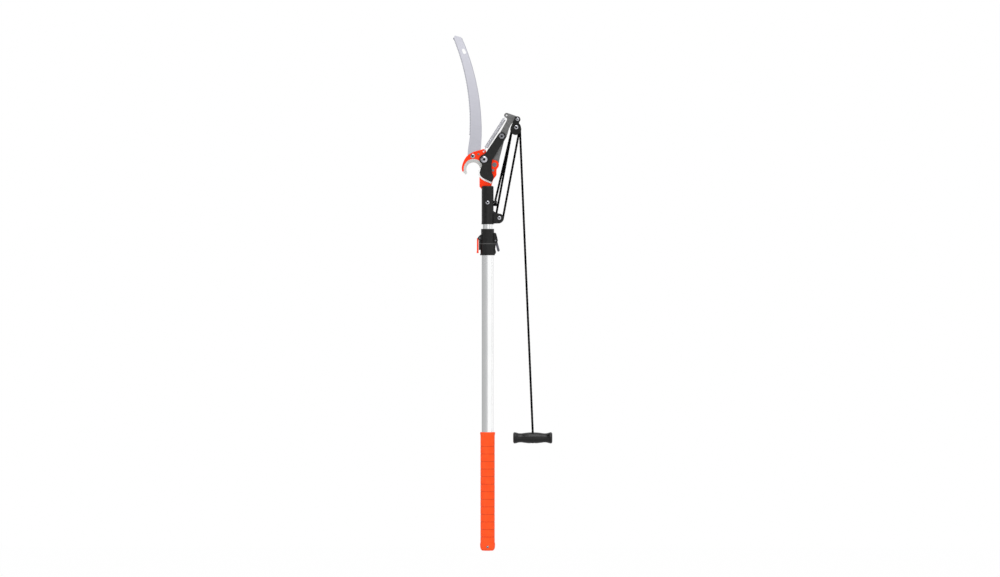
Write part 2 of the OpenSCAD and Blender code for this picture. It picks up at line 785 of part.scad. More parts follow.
// The edge runs from right to left, so its right hand side is the inside of the blade
blade_shoulder = moved_left(blade_edge, -blade_bevel_w);
blade_rest = concat(
    heads([[-14, 53.6], [-15.6, 59]]),
    arc(blade_pivot, 12.5, 232, 105, 12),
    heads([[-7.4, 84], [-3.2, 88.5]]),
    arc(drive_at, 10.6, 146, -44, 12),
    heads([[17, 74.4], [11.8, 67], [10.7, 56], [10.6, 47.8], [10.7, 36.1], [16.6, 22.8]])
);
edge_lip = 0.6;

module cutting_blade() {
    color("#2d2d2d")
    difference() {
        union() {
            plate(concat(blade_shoulder, blade_rest), blade_front, blade_back);
            blade_bevel();
        }
        bar(blade_pivot, pivot_d + 2 * run_clear, 2 * blade_front, 0);
        bar(drive_at, drive_d + 2 * snug, 2 * blade_front, 0);
    }
}

// Ground wedge from the shoulder down to the cutting edge
module blade_bevel() {
    inner = moved_left(blade_edge, -blade_bevel_w - edge_lip);
    m = len(blade_edge);
    rows = [for (i = [0:m - 1]) each [
        lift(inner[i], blade_back),
        lift(blade_edge[i], blade_back),
        lift(blade_edge[i], blade_back - edge_lip),
        lift(blade_shoulder[i], blade_front),
        lift(inner[i], blade_front)
    ]];
    polyhedron(rows, concat(wall_faces(m, 5), cap_faces(m, 5)), convexity = 6);
}

module blade_pivot_bolt() {
    color("silver")
    difference() {
        union() {
            dome(blade_pivot, pivot_head_d, 5, blade_front - layer_gap, -1);
            bar(blade_pivot, pivot_d, blade_front - layer_gap, hook_back + pivot_tail);
        }
        hexagon(blade_pivot, 6, blade_front - 8, blade_front - 2);
    }
}

pivot_tail = 9;
washer_t = 1.2;
pivot_nut_h = 6;

module blade_pivot_washer() {
    color("silver")
    difference() {
        bar(blade_pivot, 2 * pivot_d, hook_back, hook_back + washer_t);
        bar(blade_pivot, pivot_d + 2 * snug, 0, 4 * hook_back);
    }
}

module blade_pivot_nut() {
    color("silver")
    difference() {
        hexagon(blade_pivot, large_flats, hook_back + washer_t, hook_back + washer_t + pivot_nut_h);
        bar(blade_pivot, pivot_d + 2 * snug, 0, 6 * hook_back);
    }
}

// Pull lever

// Place of the drive bolt in the lever's own frame, at share t of the stroke
function slot_point(t) = turned(turned(drive_at, blade_pivot, t * blade_turn), lever_pivot, -t * lever_turn);
slot_clear = 0.25;
slot_path = [for (i = [0:26]) slot_point(1.024 * i / 26 - 0.012)];
slot_half = drive_d / 2 + slot_clear;
slot_outline = concat(moved_left(slot_path, slot_half), reversed(moved_left(slot_path, -slot_half)));
lever_outline = concat(
    arc(lever_pivot, lever_lobe_r, 190, 375, 18),
    heads([[31.4, 72], [42.6, 116.2], [49.7, 128.4], [55.4, 148.2], [59.6, 157.8], [66.3, 166.7]]),
    arc(block_pivot, 8, 225, 460, 20),
    heads([[61.9, 186.4]]),
    arc(spring_top, eye_r, 75, 200, 10),
    curve(heads([[49.3, 176.6], [50.4, 172.6], [45.5, 162.5], [35.4, 144.6], [25.6, 127], [17.5, 110]]), 4),
    heads([[11.5, 90], [7.6, 70]])
);

module pull_lever() {
    color("gray")
    difference() {
        plate(lever_outline, lever_front, lever_back);
        plate(slot_outline, 0, 2 * lever_back);
        bar(slot_path[0], 2 * slot_half, 0, 2 * lever_back);
        bar(slot_path[last(slot_path)], 2 * slot_half, 0, 2 * lever_back);
        bar(lever_pivot, pivot_d + 2 * run_clear, 0, 2 * lever_back);
        bar(block_pivot, axle_d + 2 * run_clear, 0, 2 * lever_back);
        bar(spring_top, eye_hole_d, 0, 2 * lever_back);
    }
}

// Countersunk head of the lever's rivet, level with the hook plate's front
module rivet_cone(room) {
    sink = 2.2;
    translate([lever_pivot[0], hook_front, lever_pivot[1]])
        rotate([-90, 0, 0])
            cylinder(r1 = pivot_d / 2 + sink + room, r2 = pivot_d / 2 + room, h = sink);
}

module lever_pivot_rivet() {
    color("gray") {
        rivet_cone(0);
        bar(lever_pivot, pivot_d, hook_front, lever_back + 6);
    }
}

module lever_pivot_nut() {
    color("silver")
    difference() {
        hexagon(lever_pivot, large_flats, nut_y, nut_y + drive_nut_h);
        bar(lever_pivot, pivot_d + 2 * snug, 0, 4 * lever_back);
    }
}

drive_spacer_d = 12;
drive_head_h = 5;
drive_nut_h = 5;
nut_y = lever_back + layer_gap;

module drive_bolt() {
    color("gray") {
        hexagon(drive_at, large_flats, blade_front - drive_head_h, blade_front);
        bar(drive_at, drive_d, blade_front - drive_head_h - 0.6, nut_y + drive_nut_h + 1);
    }
}

module drive_spacer() {
    color("silver")
    difference() {
        bar(drive_at, drive_spacer_d, blade_back, lever_front - layer_gap);
        bar(drive_at, drive_d + 2 * snug, -hook_t, hook_t);
    }
}

module drive_nut() {
    color("gray")
    difference() {
        hexagon(drive_at, large_flats, nut_y, nut_y + drive_nut_h);
        bar(drive_at, drive_d + 2 * snug, 0, 4 * lever_back);
    }
}

// Return spring between the hook plate's eye and the lever's eye

spring_r = (spring_d - spring_wire) / 2;
spring_y = lever_front - spring_d / 2 - 0.6;
spring_axis = unit(spring_top - spring_foot);
spring_len = norm(spring_top - spring_foot);
spring_hook_len = 12;
coil_len = spring_len - 2 * spring_hook_len;
coil_turns = spring_curls + 0.5;
top_hook_start = spring_hook_len + coil_len * coil_turns / spring_curls + spring_wire / 2 + side_clear;
// Point at distance s along the spring's axis, r across it in the plane of the head and q along Y
function spring_point(s, r, q) = lift(spring_foot + s * spring_axis + r * left_of(spring_axis), spring_y + q);
function coil_point(u) = spring_point(
    spring_hook_len + coil_len * u / spring_curls,
    spring_r * sin(360 * u),
    -spring_r * cos(360 * u)
);
// The hooks bear on the near sides of their eyes, this far from the middles
hook_seat = (eye_hole_d - spring_wire) / 2 - side_clear;
top_seat = spring_len - hook_seat;
foot_hook_path = [
    spring_point(hook_seat + 1.2, 0, hook_back + 3 - spring_y),
    spring_point(hook_seat, 0, hook_back + 1 - spring_y),
    spring_point(hook_seat, 0, 0),
    spring_point(hook_seat + 0.3, 0, -spring_r + 1.2),
    spring_point(hook_seat + 1.5, 0, -spring_r),
    spring_point(6, 0, -spring_r)
];
top_y = lever_back + 3 - spring_y;
top_hook_path = [
    spring_point(top_hook_start, 0, spring_r),
    spring_point(spring_len - 5, 0, spring_r),
    spring_point(top_seat - 1.5, 0, spring_r + 0.2),
    spring_point(top_seat, 0, spring_r + 1.5),
    spring_point(top_seat, 0, top_y - 2),
    spring_point(top_seat - 1.2, 0, top_y)
];
coil_path = [for (i = [0:8 * coil_turns]) coil_point(i / 8)];
spring_path = concat(foot_hook_path, coil_path);
// Least clear distance between one curl and the next
function least_gap(p, wire) = min([for (i = [0:last(p) - 5]) for (j = [i + 5:min(i + 11, last(p))])
    norm(p[j] - p[i])]) - wire;

module return_spring() {
    echo(return_spring_least_gap = least_gap(coil_path, spring_wire));
    color("silver")
    swept_tube(spring_path, spring_wire, 6, [1, 0, 0]);
}

module spring_hook() {
    color("silver")
    swept_tube(top_hook_path, spring_wire, 8, [1, 0, 0]);
}

// Sheaves and block

sheave_rim_r = sheave_pitch_r + 1.9;
groove_r = rope_d / 2 + side_clear;

module sheave(at, y) {
    translate([at[0], y, at[1]])
        rotate([90, 0, 0])
            rotate_extrude()
                difference() {
                    translate([axle_d / 2 + run_clear, -sheave_w / 2])
                        square([sheave_rim_r - axle_d / 2 - run_clear, sheave_w]);
                    translate([sheave_pitch_r, 0])
                        circle(r = groove_r, $fn = 32);
                    translate([sheave_pitch_r, -groove_r])
                        square([sheave_rim_r, 2 * groove_r]);
                }
}

module lower_sheave() {
    color("dimgray")
    sheave(lower_at, tackle_y);
}

module front_sheave() {
    color("dimgray")
    sheave(block_at, front_y);
}

module rear_sheave() {
    color("dimgray")
    sheave(block_at, rear_y);
}

cheek_top_r = 7.8;
cheek_foot_r = 14.4;
// The cheek's round foot hangs a little below the axle
cheek_foot_at = block_at + [-1.1, -5.2];
cheek_drop = cheek_foot_at - block_pivot;
// Bearing of the straight left side, which touches both rounds of the cheek; a neck parts them on the right
cheek_side = 360 + bearing(cheek_drop) - acos((cheek_top_r - cheek_foot_r) / norm(cheek_drop));
cheek_outline = concat(
    arc(block_pivot, cheek_top_r, -50, cheek_side, 18),
    arc(cheek_foot_at, cheek_foot_r, cheek_side, 415, 30)
);
bush_d = 11;
block_nut_h = 5;

module block_cheeks() {
    color("#2d2d2d")
    for (y = [cheek_front, cheek_back - cheek_t])
        difference() {
            plate(cheek_outline, y, y + cheek_t);
            bar(block_pivot, axle_d + 2 * snug, cheek_front - cut, cheek_back + cut);
            bar(block_at, axle_d + 2 * snug, cheek_front - cut, cheek_back + cut);
        }
}

module block_rivet() {
    color("silver") {
        bar(block_pivot, axle_d, cheek_front, cheek_back);
        dome(block_pivot, 9, 2.2, cheek_front, -1);
        dome(block_pivot, 9, 2.2, cheek_back, 1);
    }
}

module block_bushes() {
    front_span = [cheek_front + cheek_t, lever_front - layer_gap];
    back_span = [lever_back + layer_gap, cheek_back - cheek_t];
    color("silver")
    for (span = [front_span, back_span])
        difference() {
            bar(block_pivot, bush_d, span[0], span[1]);
            bar(block_pivot, axle_d + 2 * snug, cheek_front, cheek_back);
        }
}

module block_axle() {
    color("silver") {
        bar(block_at, axle_d, cheek_front, cheek_back + block_nut_h + 1);
        dome(block_at, 11, 3, cheek_front, -1);
    }
}

module block_nut() {
    color("silver")
    difference() {
        hexagon(block_at, small_flats, cheek_back, cheek_back + block_nut_h);
        bar(block_at, axle_d + 2 * snug, cheek_front, cheek_back + 2 * block_nut_h);
    }
}

// Rope

rope_gap = 0.3;
knot_top = lift(knot_lug_at, rear_y);
standing_touch = touch_angle(knot_lug_at, block_at, sheave_pitch_r, -1);
run_across = left_of(block_at - lower_at);
left_touch = bearing(run_across);
right_touch = left_touch - 180;
pull_foot = handle_at + [0, 0, handle_drop];
pull_touch = touch_angle([pull_foot[0], pull_foot[2]], block_at, sheave_pitch_r, 1);
pull_top = on_sheave(block_at, pull_touch, front_y);
function on_sheave(at, a, y) = lift(at + polar(sheave_pitch_r, a), y);

module rope_knot() {
    color("#232323")
    translate(knot_top) {
        translate([0, 0, -knot_lug_h - cut])
            cylinder(d = rope_d, h = knot_lug_h + cut + 0.5);
        translate([0, 0, -knot_lug_h - 3.6 - side_clear])
            knot(4.7, 3.6);
    }
}

// Rounded knot of radius r and half height h
module knot(r, h) {
    rotate_extrude()
        polygon(concat([[0, -h]], [for (a = [-75:15:75]) [r * cos(a), h * sin(a)]], [[0, h]]));
}

module rope_standing_part() {
    color("#232323")
    rope_run(knot_top, on_sheave(block_at, standing_touch + 360, rear_y), 3, rope_gap);
}

module rope_bends() {
    trim = rope_gap / sheave_pitch_r * 180 / PI / 2;
    color("#232323") {
        rope_bend(block_at, rear_y, right_touch + trim, over_top(standing_touch) - trim);
        rope_bend(block_at, front_y, pull_touch + trim, over_top(left_touch) - trim);
    }
}

// The same bearing, counted upwards past the top of the sheave
function over_top(a) = a < 90 ? a + 360 : a;

module rope_loop() {
    color("#232323") {
        rope_bend(lower_at, tackle_y, left_touch, left_touch + 180);
        loop_side(left_touch, front_y);
        loop_side(right_touch, rear_y);
    }
}

// One side of the loop, from the lower sheave up to a sheave of the block
module loop_side(touch, y) {
    rope_run(on_sheave(lower_at, touch, tackle_y), on_sheave(block_at, touch, y), rope_gap, rope_gap);
}

pull_rings = 66;
pull_path = [for (i = [0:pull_rings]) pull_top + (pull_foot - pull_top) * i / pull_rings];

module rope_pull_line() {
    color("#232323")
    swept_tube(pull_path, rope_d, 10, [0, 1, 0]);
}

// Pull handle

handle_r = handle_d / 2;
handle_end_r = 14.7;
handle_waist_r = 11.9;
// Half profile of the handle, swelling at the middle and at both ends
handle_half = curve([
    [0, handle_r],
    [handle_len * 0.1, handle_r - 0.25],
    [handle_len * 0.2, handle_r - 1.3],
    [handle_len * 0.29, handle_waist_r],
    [handle_len * 0.36, handle_waist_r + 0.4],
    [handle_len * 0.43, handle_end_r - 0.4],
    [handle_len / 2 - 3.5, handle_end_r],
    [handle_len / 2 - 1, handle_end_r - 1.6],
    [handle_len / 2, handle_end_r - 5]
], 3);
handle_profile = concat(
    [[0, -handle_len / 2]],
    [for (p = reversed(handle_half)) [p[1], -p[0]]],
    [for (i = [1:last(handle_half)]) [handle_half[i][1], handle_half[i][0]]],
    [[0, handle_len / 2]]
);
knot_pit_d = 14;
knot_pit_h = 11;

module pull_handle() {
    color("#2e2e2e")
    translate(handle_at)
        difference() {
            rotate([0, 90, 0])
                rotate_extrude()
                    polygon(handle_profile);
            cylinder(d = rope_d + 2 * side_clear, h = 4 * handle_drop, center = true);
            translate([0, 0, -handle_r - cut])
                cylinder(d = knot_pit_d, h = knot_pit_h + cut);
        }
}

module handle_knot() {
    knot_h = 4.2;
    knot_z = knot_pit_h - handle_r - knot_h - layer_gap;
    color("#232323")
    translate(handle_at + [0, 0, knot_z]) {
        cylinder(d = rope_d, h = handle_drop - rope_gap - knot_z);
        knot(6, knot_h);
    }
}

outer_tube();
grip();
guide_sleeve();
lock_collar();
lock_pin();
lock_lever();
trigger_pin();
latch_trigger();
latch_spring();
inner_tube();
guide_plug();
socket();
cross_screw();
cross_nut();
hook_plate();
saw_blade();
saw_bolt();
saw_nut();
saw_rivet();
cutting_blade();
blade_pivot_bolt();
blade_pivot_washer();
blade_pivot_nut();
pull_lever();
lever_pivot_rivet();
lever_pivot_nut();
stop_pin();
drive_bolt();
drive_spacer();
drive_nut();
return_spring();
spring_hook();
lower_sheave();
lower_axle();
block_cheeks();
block_rivet();
block_bushes();
block_axle();
block_nut();
front_sheave();
rear_sheave();
rope_knot();
rope_standing_part();
rope_bends();
rope_loop();
rope_pull_line();
pull_handle();
handle_knot();
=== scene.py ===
"""Looks of the telescopic tree pruner pole: braided rope, wound springs, moulded grip and handle, eased plates
and screws."""
import json
import math
import bmesh
import bpy
import numpy as np
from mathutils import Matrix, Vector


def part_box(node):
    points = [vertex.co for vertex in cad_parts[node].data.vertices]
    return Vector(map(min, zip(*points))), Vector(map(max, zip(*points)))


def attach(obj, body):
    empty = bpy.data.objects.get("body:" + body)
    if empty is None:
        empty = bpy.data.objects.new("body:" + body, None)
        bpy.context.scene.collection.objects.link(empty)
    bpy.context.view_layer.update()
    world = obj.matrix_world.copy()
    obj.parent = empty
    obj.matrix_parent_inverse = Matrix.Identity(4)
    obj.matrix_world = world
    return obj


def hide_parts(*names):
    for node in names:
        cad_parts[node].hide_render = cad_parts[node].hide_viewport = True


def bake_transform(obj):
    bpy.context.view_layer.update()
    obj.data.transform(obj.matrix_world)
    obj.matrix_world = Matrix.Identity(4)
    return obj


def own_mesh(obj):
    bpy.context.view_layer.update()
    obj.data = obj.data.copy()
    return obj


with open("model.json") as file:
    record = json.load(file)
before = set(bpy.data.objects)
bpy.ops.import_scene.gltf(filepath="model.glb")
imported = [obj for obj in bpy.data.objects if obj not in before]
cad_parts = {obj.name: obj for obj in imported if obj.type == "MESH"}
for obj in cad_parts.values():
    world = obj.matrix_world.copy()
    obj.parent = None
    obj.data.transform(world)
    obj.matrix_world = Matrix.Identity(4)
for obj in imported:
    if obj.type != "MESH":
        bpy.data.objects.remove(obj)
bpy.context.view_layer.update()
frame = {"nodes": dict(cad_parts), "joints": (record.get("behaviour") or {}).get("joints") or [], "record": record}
scene = bpy.context.scene
scene.view_settings.view_transform = "Standard"

MM = 0.001
JOINTS = {joint["name"]: joint for joint in frame["joints"]}
BODY_OF = {node: body for body, nodes in frame["record"]["behaviour"]["bodies"].items() for node in nodes}


def pivot(joint):
    """The point a joint turns about, in millimetres."""
    return np.array(JOINTS[joint]["pos_m"]) / MM


def corners(node):
    """A node's lowest and highest corners at rest, in millimetres."""
    return np.array(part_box(node)) / MM


# Camera: square on to the front and CAMERA_OFF metres off, as the photograph shows no perspective to speak of. A pixel
# is PIXEL millimetres, and the photograph's middle and the butt end's place in it, in pixels, aim the camera
PIXEL = 2.6
PHOTO_MIDDLE = np.array([500, 288.5])
BUTT_END = np.array([487.6, 550.5])
CAMERA_OFF = 14.44
aim = (PHOTO_MIDDLE - BUTT_END) * [1, -1] * PIXEL * MM
camera = bpy.data.objects.new("front_camera", bpy.data.cameras.new("front_camera"))
scene.collection.objects.link(camera)
camera.data.lens = 200
camera.data.sensor_width = 36
camera.location = (aim[0], -CAMERA_OFF, aim[1])
camera.rotation_euler = (math.radians(90), 0, 0)
camera.data.clip_end = 100
scene.camera = camera


# Shapes: points closer than MERGED metres are one, and plates and fasteners are rounded where an edge is over
# EASED_FROM degrees

MERGED = 2e-6
EASED_FROM = 35


def unit(v):
    """Vectors along the last axis, brought to length one."""
    return v / np.linalg.norm(v, axis=-1, keepdims=True)


def polar(at, r, degrees, y):
    """Points in the plane of the head on a circle round at: x = r cos a, z = r sin a, at depth y."""
    a = np.radians(np.atleast_1d(degrees))
    return np.stack([at[0] + r * np.cos(a), np.full_like(a, y), at[2] + r * np.sin(a)], -1)


def straight(a, b, step):
    """Evenly spaced points from a to b, about step apart."""
    t = np.linspace(0, 1, max(2, int(np.linalg.norm(b - a) / step) + 1))[:, None]
    return a + (b - a) * t


def through(points, steps):
    """Catmull-Rom curve through points, each span cut into steps."""
    p = np.concatenate([points[:1], points, points[-1:]])
    a, b, c, d = (p[i:len(p) - 3 + i, None] for i in range(4))
    t = (np.arange(steps) / steps)[None, :, None]
    spans = 0.5 * (2 * b + (c - a) * t + (2 * a - 5 * b + 4 * c - d) * t ** 2 + (3 * b - a - 3 * c + d) * t ** 3)
    return np.concatenate([spans.reshape(-1, points.shape[1]), points[-1:]])


def smoothstep(x, low, high):
    """0 below low, 1 above high and 3t^2 - 2t^3 between."""
    t = np.clip((x - low) / (high - low), 0, 1)
    return t * t * (3 - 2 * t)


def swept(path, radius, columns, across):
    """Profile carried along a path: point + radius (cos f side + sin f up), with side carried on without twist.
    radius is one number or an array of rows by columns, in millimetres."""
    tangent = unit(np.gradient(path, axis=0))
    side = np.empty_like(path)
    last = np.asarray(across, float)
    for i, t in enumerate(tangent):
        last = unit(last - last.dot(t) * t)
        side[i] = last
    up = np.cross(tangent, side)
    f = np.linspace(0, 2 * np.pi, columns, endpoint=False)[None, :, None]
    r = radius[..., None] if isinstance(radius, np.ndarray) else radius
    return path[:, None] + r * (np.cos(f) * side[:, None] + np.sin(f) * up[:, None])


def turned(profile, columns, axis="z", at=(0, 0, 0)):
    """Surface of revolution: profile rows of (radius, height) carried round the axis through at."""
    f = np.linspace(0, 2 * np.pi, columns, endpoint=False)
    r, h = profile[:, :1], np.broadcast_to(profile[:, 1:2], (len(profile), columns))
    flat = (r * np.cos(f), r * np.sin(f))
    order = {"z": (flat[0], flat[1], h), "x": (h, flat[0], flat[1]), "y": (flat[1], h, flat[0])}[axis]
    return np.stack(order, -1) + np.asarray(at, float)


def solid(name, points, material, round_rows=False, sharp=40):
    """Closed mesh of a grid of points in millimetres: columns close into rings, end rows close at their middles,
    or onto each other where round_rows is set; faces end up pointing outwards."""
    m, n, _ = points.shape
    rows = m if round_rows else m - 1
    i, k = np.arange(rows)[:, None], np.arange(n)[None, :]
    below, above, on = i * n, (i + 1) % m * n, (k + 1) % n
    faces = np.stack([below + k, below + on, above + on, above + k], -1).reshape(-1, 4).tolist()
    verts = points.reshape(-1, 3)
    if not round_rows:
        verts = np.concatenate([verts, points[0].mean(0)[None], points[-1].mean(0)[None]])
        ring, foot = np.arange(n), (m - 1) * n
        faces += np.stack([np.full(n, m * n), (ring + 1) % n, ring], -1).tolist()
        faces += np.stack([np.full(n, m * n + 1), foot + ring, foot + (ring + 1) % n], -1).tolist()
    mesh = bpy.data.meshes.new(name)
    mesh.from_pydata((verts * MM).tolist(), [], faces)
    return placed(name, mesh, [material], sharp)


def placed(name, mesh, materials, sharp):
    """Object of a mesh whose doubles are merged, with faces outwards and edges over sharp degrees kept crisp."""
    bm = bmesh.new()
    bm.from_mesh(mesh)
    bmesh.ops.remove_doubles(bm, verts=bm.verts, dist=MERGED)
    if bm.calc_volume(signed=True) < 0:
        bmesh.ops.reverse_faces(bm, faces=bm.faces)
    bm.to_mesh(mesh)
    bm.free()
    mesh.materials.clear()
    for material in materials:
        mesh.materials.append(material)
    mesh.polygons.foreach_set("use_smooth", np.ones(len(mesh.polygons), bool))
    mesh.set_sharp_from_angle(angle=math.radians(sharp))
    piece = bpy.data.objects.new(name, mesh)
    scene.collection.objects.link(piece)
    return piece


def mark(piece, name, values):
    """Stores one number for each vertex, for a material to read."""
    piece.data.attributes.new(name, "FLOAT", "POINT").data.foreach_set("value", np.asarray(values, np.float32))


def spots(piece):
    """The vertices of a piece in millimetres."""
    flat = np.empty(len(piece.data.vertices) * 3, np.float32)
    piece.data.vertices.foreach_get("co", flat)
    return flat.reshape(-1, 3) / MM


def face_lie(piece):
    """The middles of a piece's faces in millimetres, and how far each one looks to the front, from -1 to 1."""
    flat = np.empty((2, len(piece.data.polygons) * 3), np.float32)
    piece.data.polygons.foreach_get("center", flat[0])
    piece.data.polygons.foreach_get("normal", flat[1])
    return flat[0].reshape(-1, 3) / MM, -flat[1].reshape(-1, 3)[:, 1]


def bored(piece, start, end, r, sides=48, lining=None, sharp=40):
    """Cuts a hole of radius r and so many sides from start to end through a piece, gives its walls a lining and keeps
    edges over sharp degrees crisp."""
    across = (1, 0, 0) if abs(end[0] - start[0]) < 1 else (0, 1, 0)
    drill = solid("drill", swept(np.array([start, end], float), r, sides, across), lining)
    cut = piece.modifiers.new("hole", "BOOLEAN")
    cut.object = drill
    cut.operation = "DIFFERENCE"
    cut.solver = "EXACT"
    cut.material_mode = "TRANSFER" if lining else "INDEX"
    whole = bpy.data.meshes.new_from_object(piece.evaluated_get(bpy.context.evaluated_depsgraph_get()))
    piece.modifiers.clear()
    piece.data = whole
    whole.set_sharp_from_angle(angle=math.radians(sharp))
    bpy.data.objects.remove(drill)


def stands_for(piece, *nodes):
    """A piece rides with the first node's body and hides the nodes."""
    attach(piece, BODY_OF[nodes[0]])
    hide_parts(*nodes)


def eased(node, width, *materials, key=None):
    """Copy of a node's solid: triangles merged, flat faces made whole and sharp edges rounded by width millimetres.
    key is the radius and depth of a six-sided recess in the middle of its front, its walls dark with painted shade."""
    mesh = frame["nodes"][node].data.copy()
    bm = bmesh.new()
    bm.from_mesh(mesh)
    bmesh.ops.remove_doubles(bm, verts=bm.verts, dist=MERGED)
    bmesh.ops.dissolve_limit(bm, angle_limit=math.radians(0.4), verts=bm.verts, edges=bm.edges)
    bm.to_mesh(mesh)
    bm.free()
    piece = placed(node + "_finished", mesh, materials, EASED_FROM)
    if key:
        low, high = corners(node)
        front = np.array([(low[0] + high[0]) / 2, low[1], (low[2] + high[2]) / 2])
        # painted shade: the recess's walls are lined with a dark finish
        bored(piece, front - [0, 2, 0], front + [0, key[1], 0], key[0], 6, RECESS_SHADE)
    if width:
        bevel = piece.modifiers.new("eased_edges", "BEVEL")
        bevel.width = width * MM
        bevel.segments = 2
        bevel.limit_method = "ANGLE"
        bevel.angle_limit = math.radians(EASED_FROM)
        bevel.harden_normals = True
    stands_for(piece, node)
    return piece


def repainted(piece, chosen):
    """Gives the chosen faces of a piece its second material."""
    piece.data.polygons.foreach_set("material_index", chosen.astype(np.int32))


# Materials

def linear(code):
    """An sRGB hex colour as linear red, green, blue and alpha."""
    c = np.array([int(code[i:i + 2], 16) for i in (1, 3, 5)]) / 255
    return (*np.where(c <= 0.04045, c / 12.92, ((c + 0.055) / 1.055) ** 2.4).tolist(), 1.0)


def add(tree, kind, sockets=None, **settings):
    """Adds one node: settings are its properties, sockets its inputs' values, or the nodes or outputs that feed
    them."""
    node = tree.nodes.new(kind)
    for name, value in settings.items():
        setattr(node, name, value)
    for name, value in (sockets or {}).items():
        if isinstance(value, bpy.types.Node):
            value = value.outputs[0]
        if isinstance(value, bpy.types.NodeSocket):
            tree.links.new(value, node.inputs[name])
        else:
            node.inputs[name].default_value = value
    return node


def begun(name):
    """A new material with an empty tree, and the Object coordinates its patterns lie on."""
    material = bpy.data.materials.new(name)
    material.use_nodes = True
    tree = material.node_tree
    tree.nodes.clear()
    return material, tree, add(tree, "ShaderNodeTexCoord").outputs["Object"]


def ended(material, tree, pattern, depth, looks):
    """Ends a material: its surface has these looks and is raised by the pattern, by up to depth millimetres."""
    relief = add(tree, "ShaderNodeBump", {"Height": pattern, "Distance": depth * MM})
    surface = add(tree, "ShaderNodeBsdfPrincipled", {**looks, "Normal": relief})
    add(tree, "ShaderNodeOutputMaterial", {"Surface": surface})
    return material


def noise(tree, at, size, stretch=(1, 1, 1), detail=3.0):
    """Noise whose cells are about size millimetres, longer where stretch is above one."""
    scale = tuple(1 / (size * MM * s) for s in stretch)
    mapped = add(tree, "ShaderNodeMapping", {"Vector": at, "Scale": scale})
    return add(tree, "ShaderNodeTexNoise", {"Vector": mapped, "Scale": 1.0, "Detail": detail})


def ramp(tree, value, start, end, low=0.0, high=1.0):
    """Goes from low to high as the value goes from start to end, and no further."""
    return add(tree, "ShaderNodeMapRange", {
        "Value": value, "From Min": start, "From Max": end, "To Min": low, "To Max": high})


def spread(tree, pattern, low=0.0, high=1.0):
    """A noise spread from low to high: nearly all of its own values fall between 0.3 and 0.7."""
    return ramp(tree, pattern, 0.3, 0.7, low, high)


def mixed(tree, share, first, second, blend="MIX"):
    """Goes from the first colour to the second with share; each is a hex code, linear values or an output."""
    first, second = (linear(c) if isinstance(c, str) else c for c in (first, second))
    return add(tree, "ShaderNodeMix", {0: share, 6: first, 7: second}, data_type="RGBA", blend_type=blend).outputs[2]


def stored(tree, name):
    """The numbers that mark() stored under a name."""
    return add(tree, "ShaderNodeAttribute", attribute_name=name).outputs["Fac"]


def anodised_aluminium():
    """Drawn tube, satin anodised: fine lengthwise draw lines spread the shine across the tube, over faint clouds,
    and painted shade makes the flutes a little darker. The lines are drawn 0.7 mm wide, coarser than real ones, so that
    they show."""
    material, tree, at = begun("anodised_aluminium")
    lines = noise(tree, at, 0.7, (1, 1, 90))
    skin = mixed(tree, spread(tree, noise(tree, at, 40)), "#fbfcfc", "#ffffff")
    # painted shade: the flutes are darkened by their share stored on the tube
    tint = mixed(tree, stored(tree, "flute"), skin, "#c9cbcd")
    return ended(material, tree, lines, 0.007, {
        "Base Color": tint, "Metallic": 1.0, "Roughness": spread(tree, lines, 0.12, 0.20)})


def rubber_grip():
    """Moulded thermoplastic rubber: matt, finely pebbled, with painted shade darkening the grooves."""
    material, tree, at = begun("orange_thermoplastic_rubber")
    pebble = noise(tree, at, 0.9)
    skin = mixed(tree, spread(tree, noise(tree, at, 14)), "#f94c12", "#ff5519")
    # painted shade: the grooves are darkened by their share stored on the grip
    tint = mixed(tree, stored(tree, "hollow"), skin, "#c93a0c")
    return ended(material, tree, pebble, 0.06, {
        "Base Color": tint, "Roughness": spread(tree, pebble, 0.55, 0.70), "IOR": 1.5, "Specular IOR Level": 0.2})


def powder_coat(name, dark, light, specular):
    """Powder coated steel: semi gloss with the slow waves of an orange peel skin."""
    material, tree, at = begun(name)
    peel = noise(tree, at, 2.2, detail=1.0)
    tint = mixed(tree, spread(tree, noise(tree, at, 18)), dark, light)
    return ended(material, tree, peel, 0.05, {
        "Base Color": tint, "Roughness": spread(tree, peel, 0.34, 0.46), "Specular IOR Level": specular})


def ground_steel(name, dark, light):
    """Bare steel from the grinding wheel: pale satin, most of its light scattered by scratches across the edge."""
    material, tree, at = begun(name)
    lean = add(tree, "ShaderNodeMapping", {"Vector": at, "Rotation": (0, math.radians(35), 0)})
    scratches = noise(tree, lean, 0.5, (1, 1, 14))
    tint = mixed(tree, spread(tree, scratches), dark, light)
    return ended(material, tree, scratches, 0.02, {
        "Base Color": tint, "Metallic": 0.2, "Roughness": spread(tree, scratches, 0.36, 0.50)})


def fine_skin(name, dark, light, size, rough_low, rough_high, specular, step_highlight_height=None):
    """Even, finely pitted skin, as on moulded nylon and sprayed coatings: soft sheen, with pits of the given size.
    The last argument is the height of a step whose edge gets a painted highlight, a paler band about 3 mm wide."""
    material, tree, at = begun(name)
    pits = noise(tree, at, size)
    tint = mixed(tree, spread(tree, noise(tree, at, 10 * size)), dark, light)
    if step_highlight_height:
        # painted highlight: a paler band along the step's edge
        height = add(tree, "ShaderNodeSeparateXYZ", {0: at}).outputs["Z"]
        above = add(tree, "ShaderNodeMath", {0: height, 1: step_highlight_height * MM}, operation="SUBTRACT")
        off = add(tree, "ShaderNodeMath", {0: above}, operation="ABSOLUTE")
        tint = mixed(tree, ramp(tree, off, 0.5 * MM, 1.8 * MM, 1.0, 0.0), tint, "#4a4a4a")
    return ended(material, tree, pits, 0.04, {
        "Base Color": tint, "Roughness": spread(tree, pits, rough_low, rough_high), "Specular IOR Level": specular})


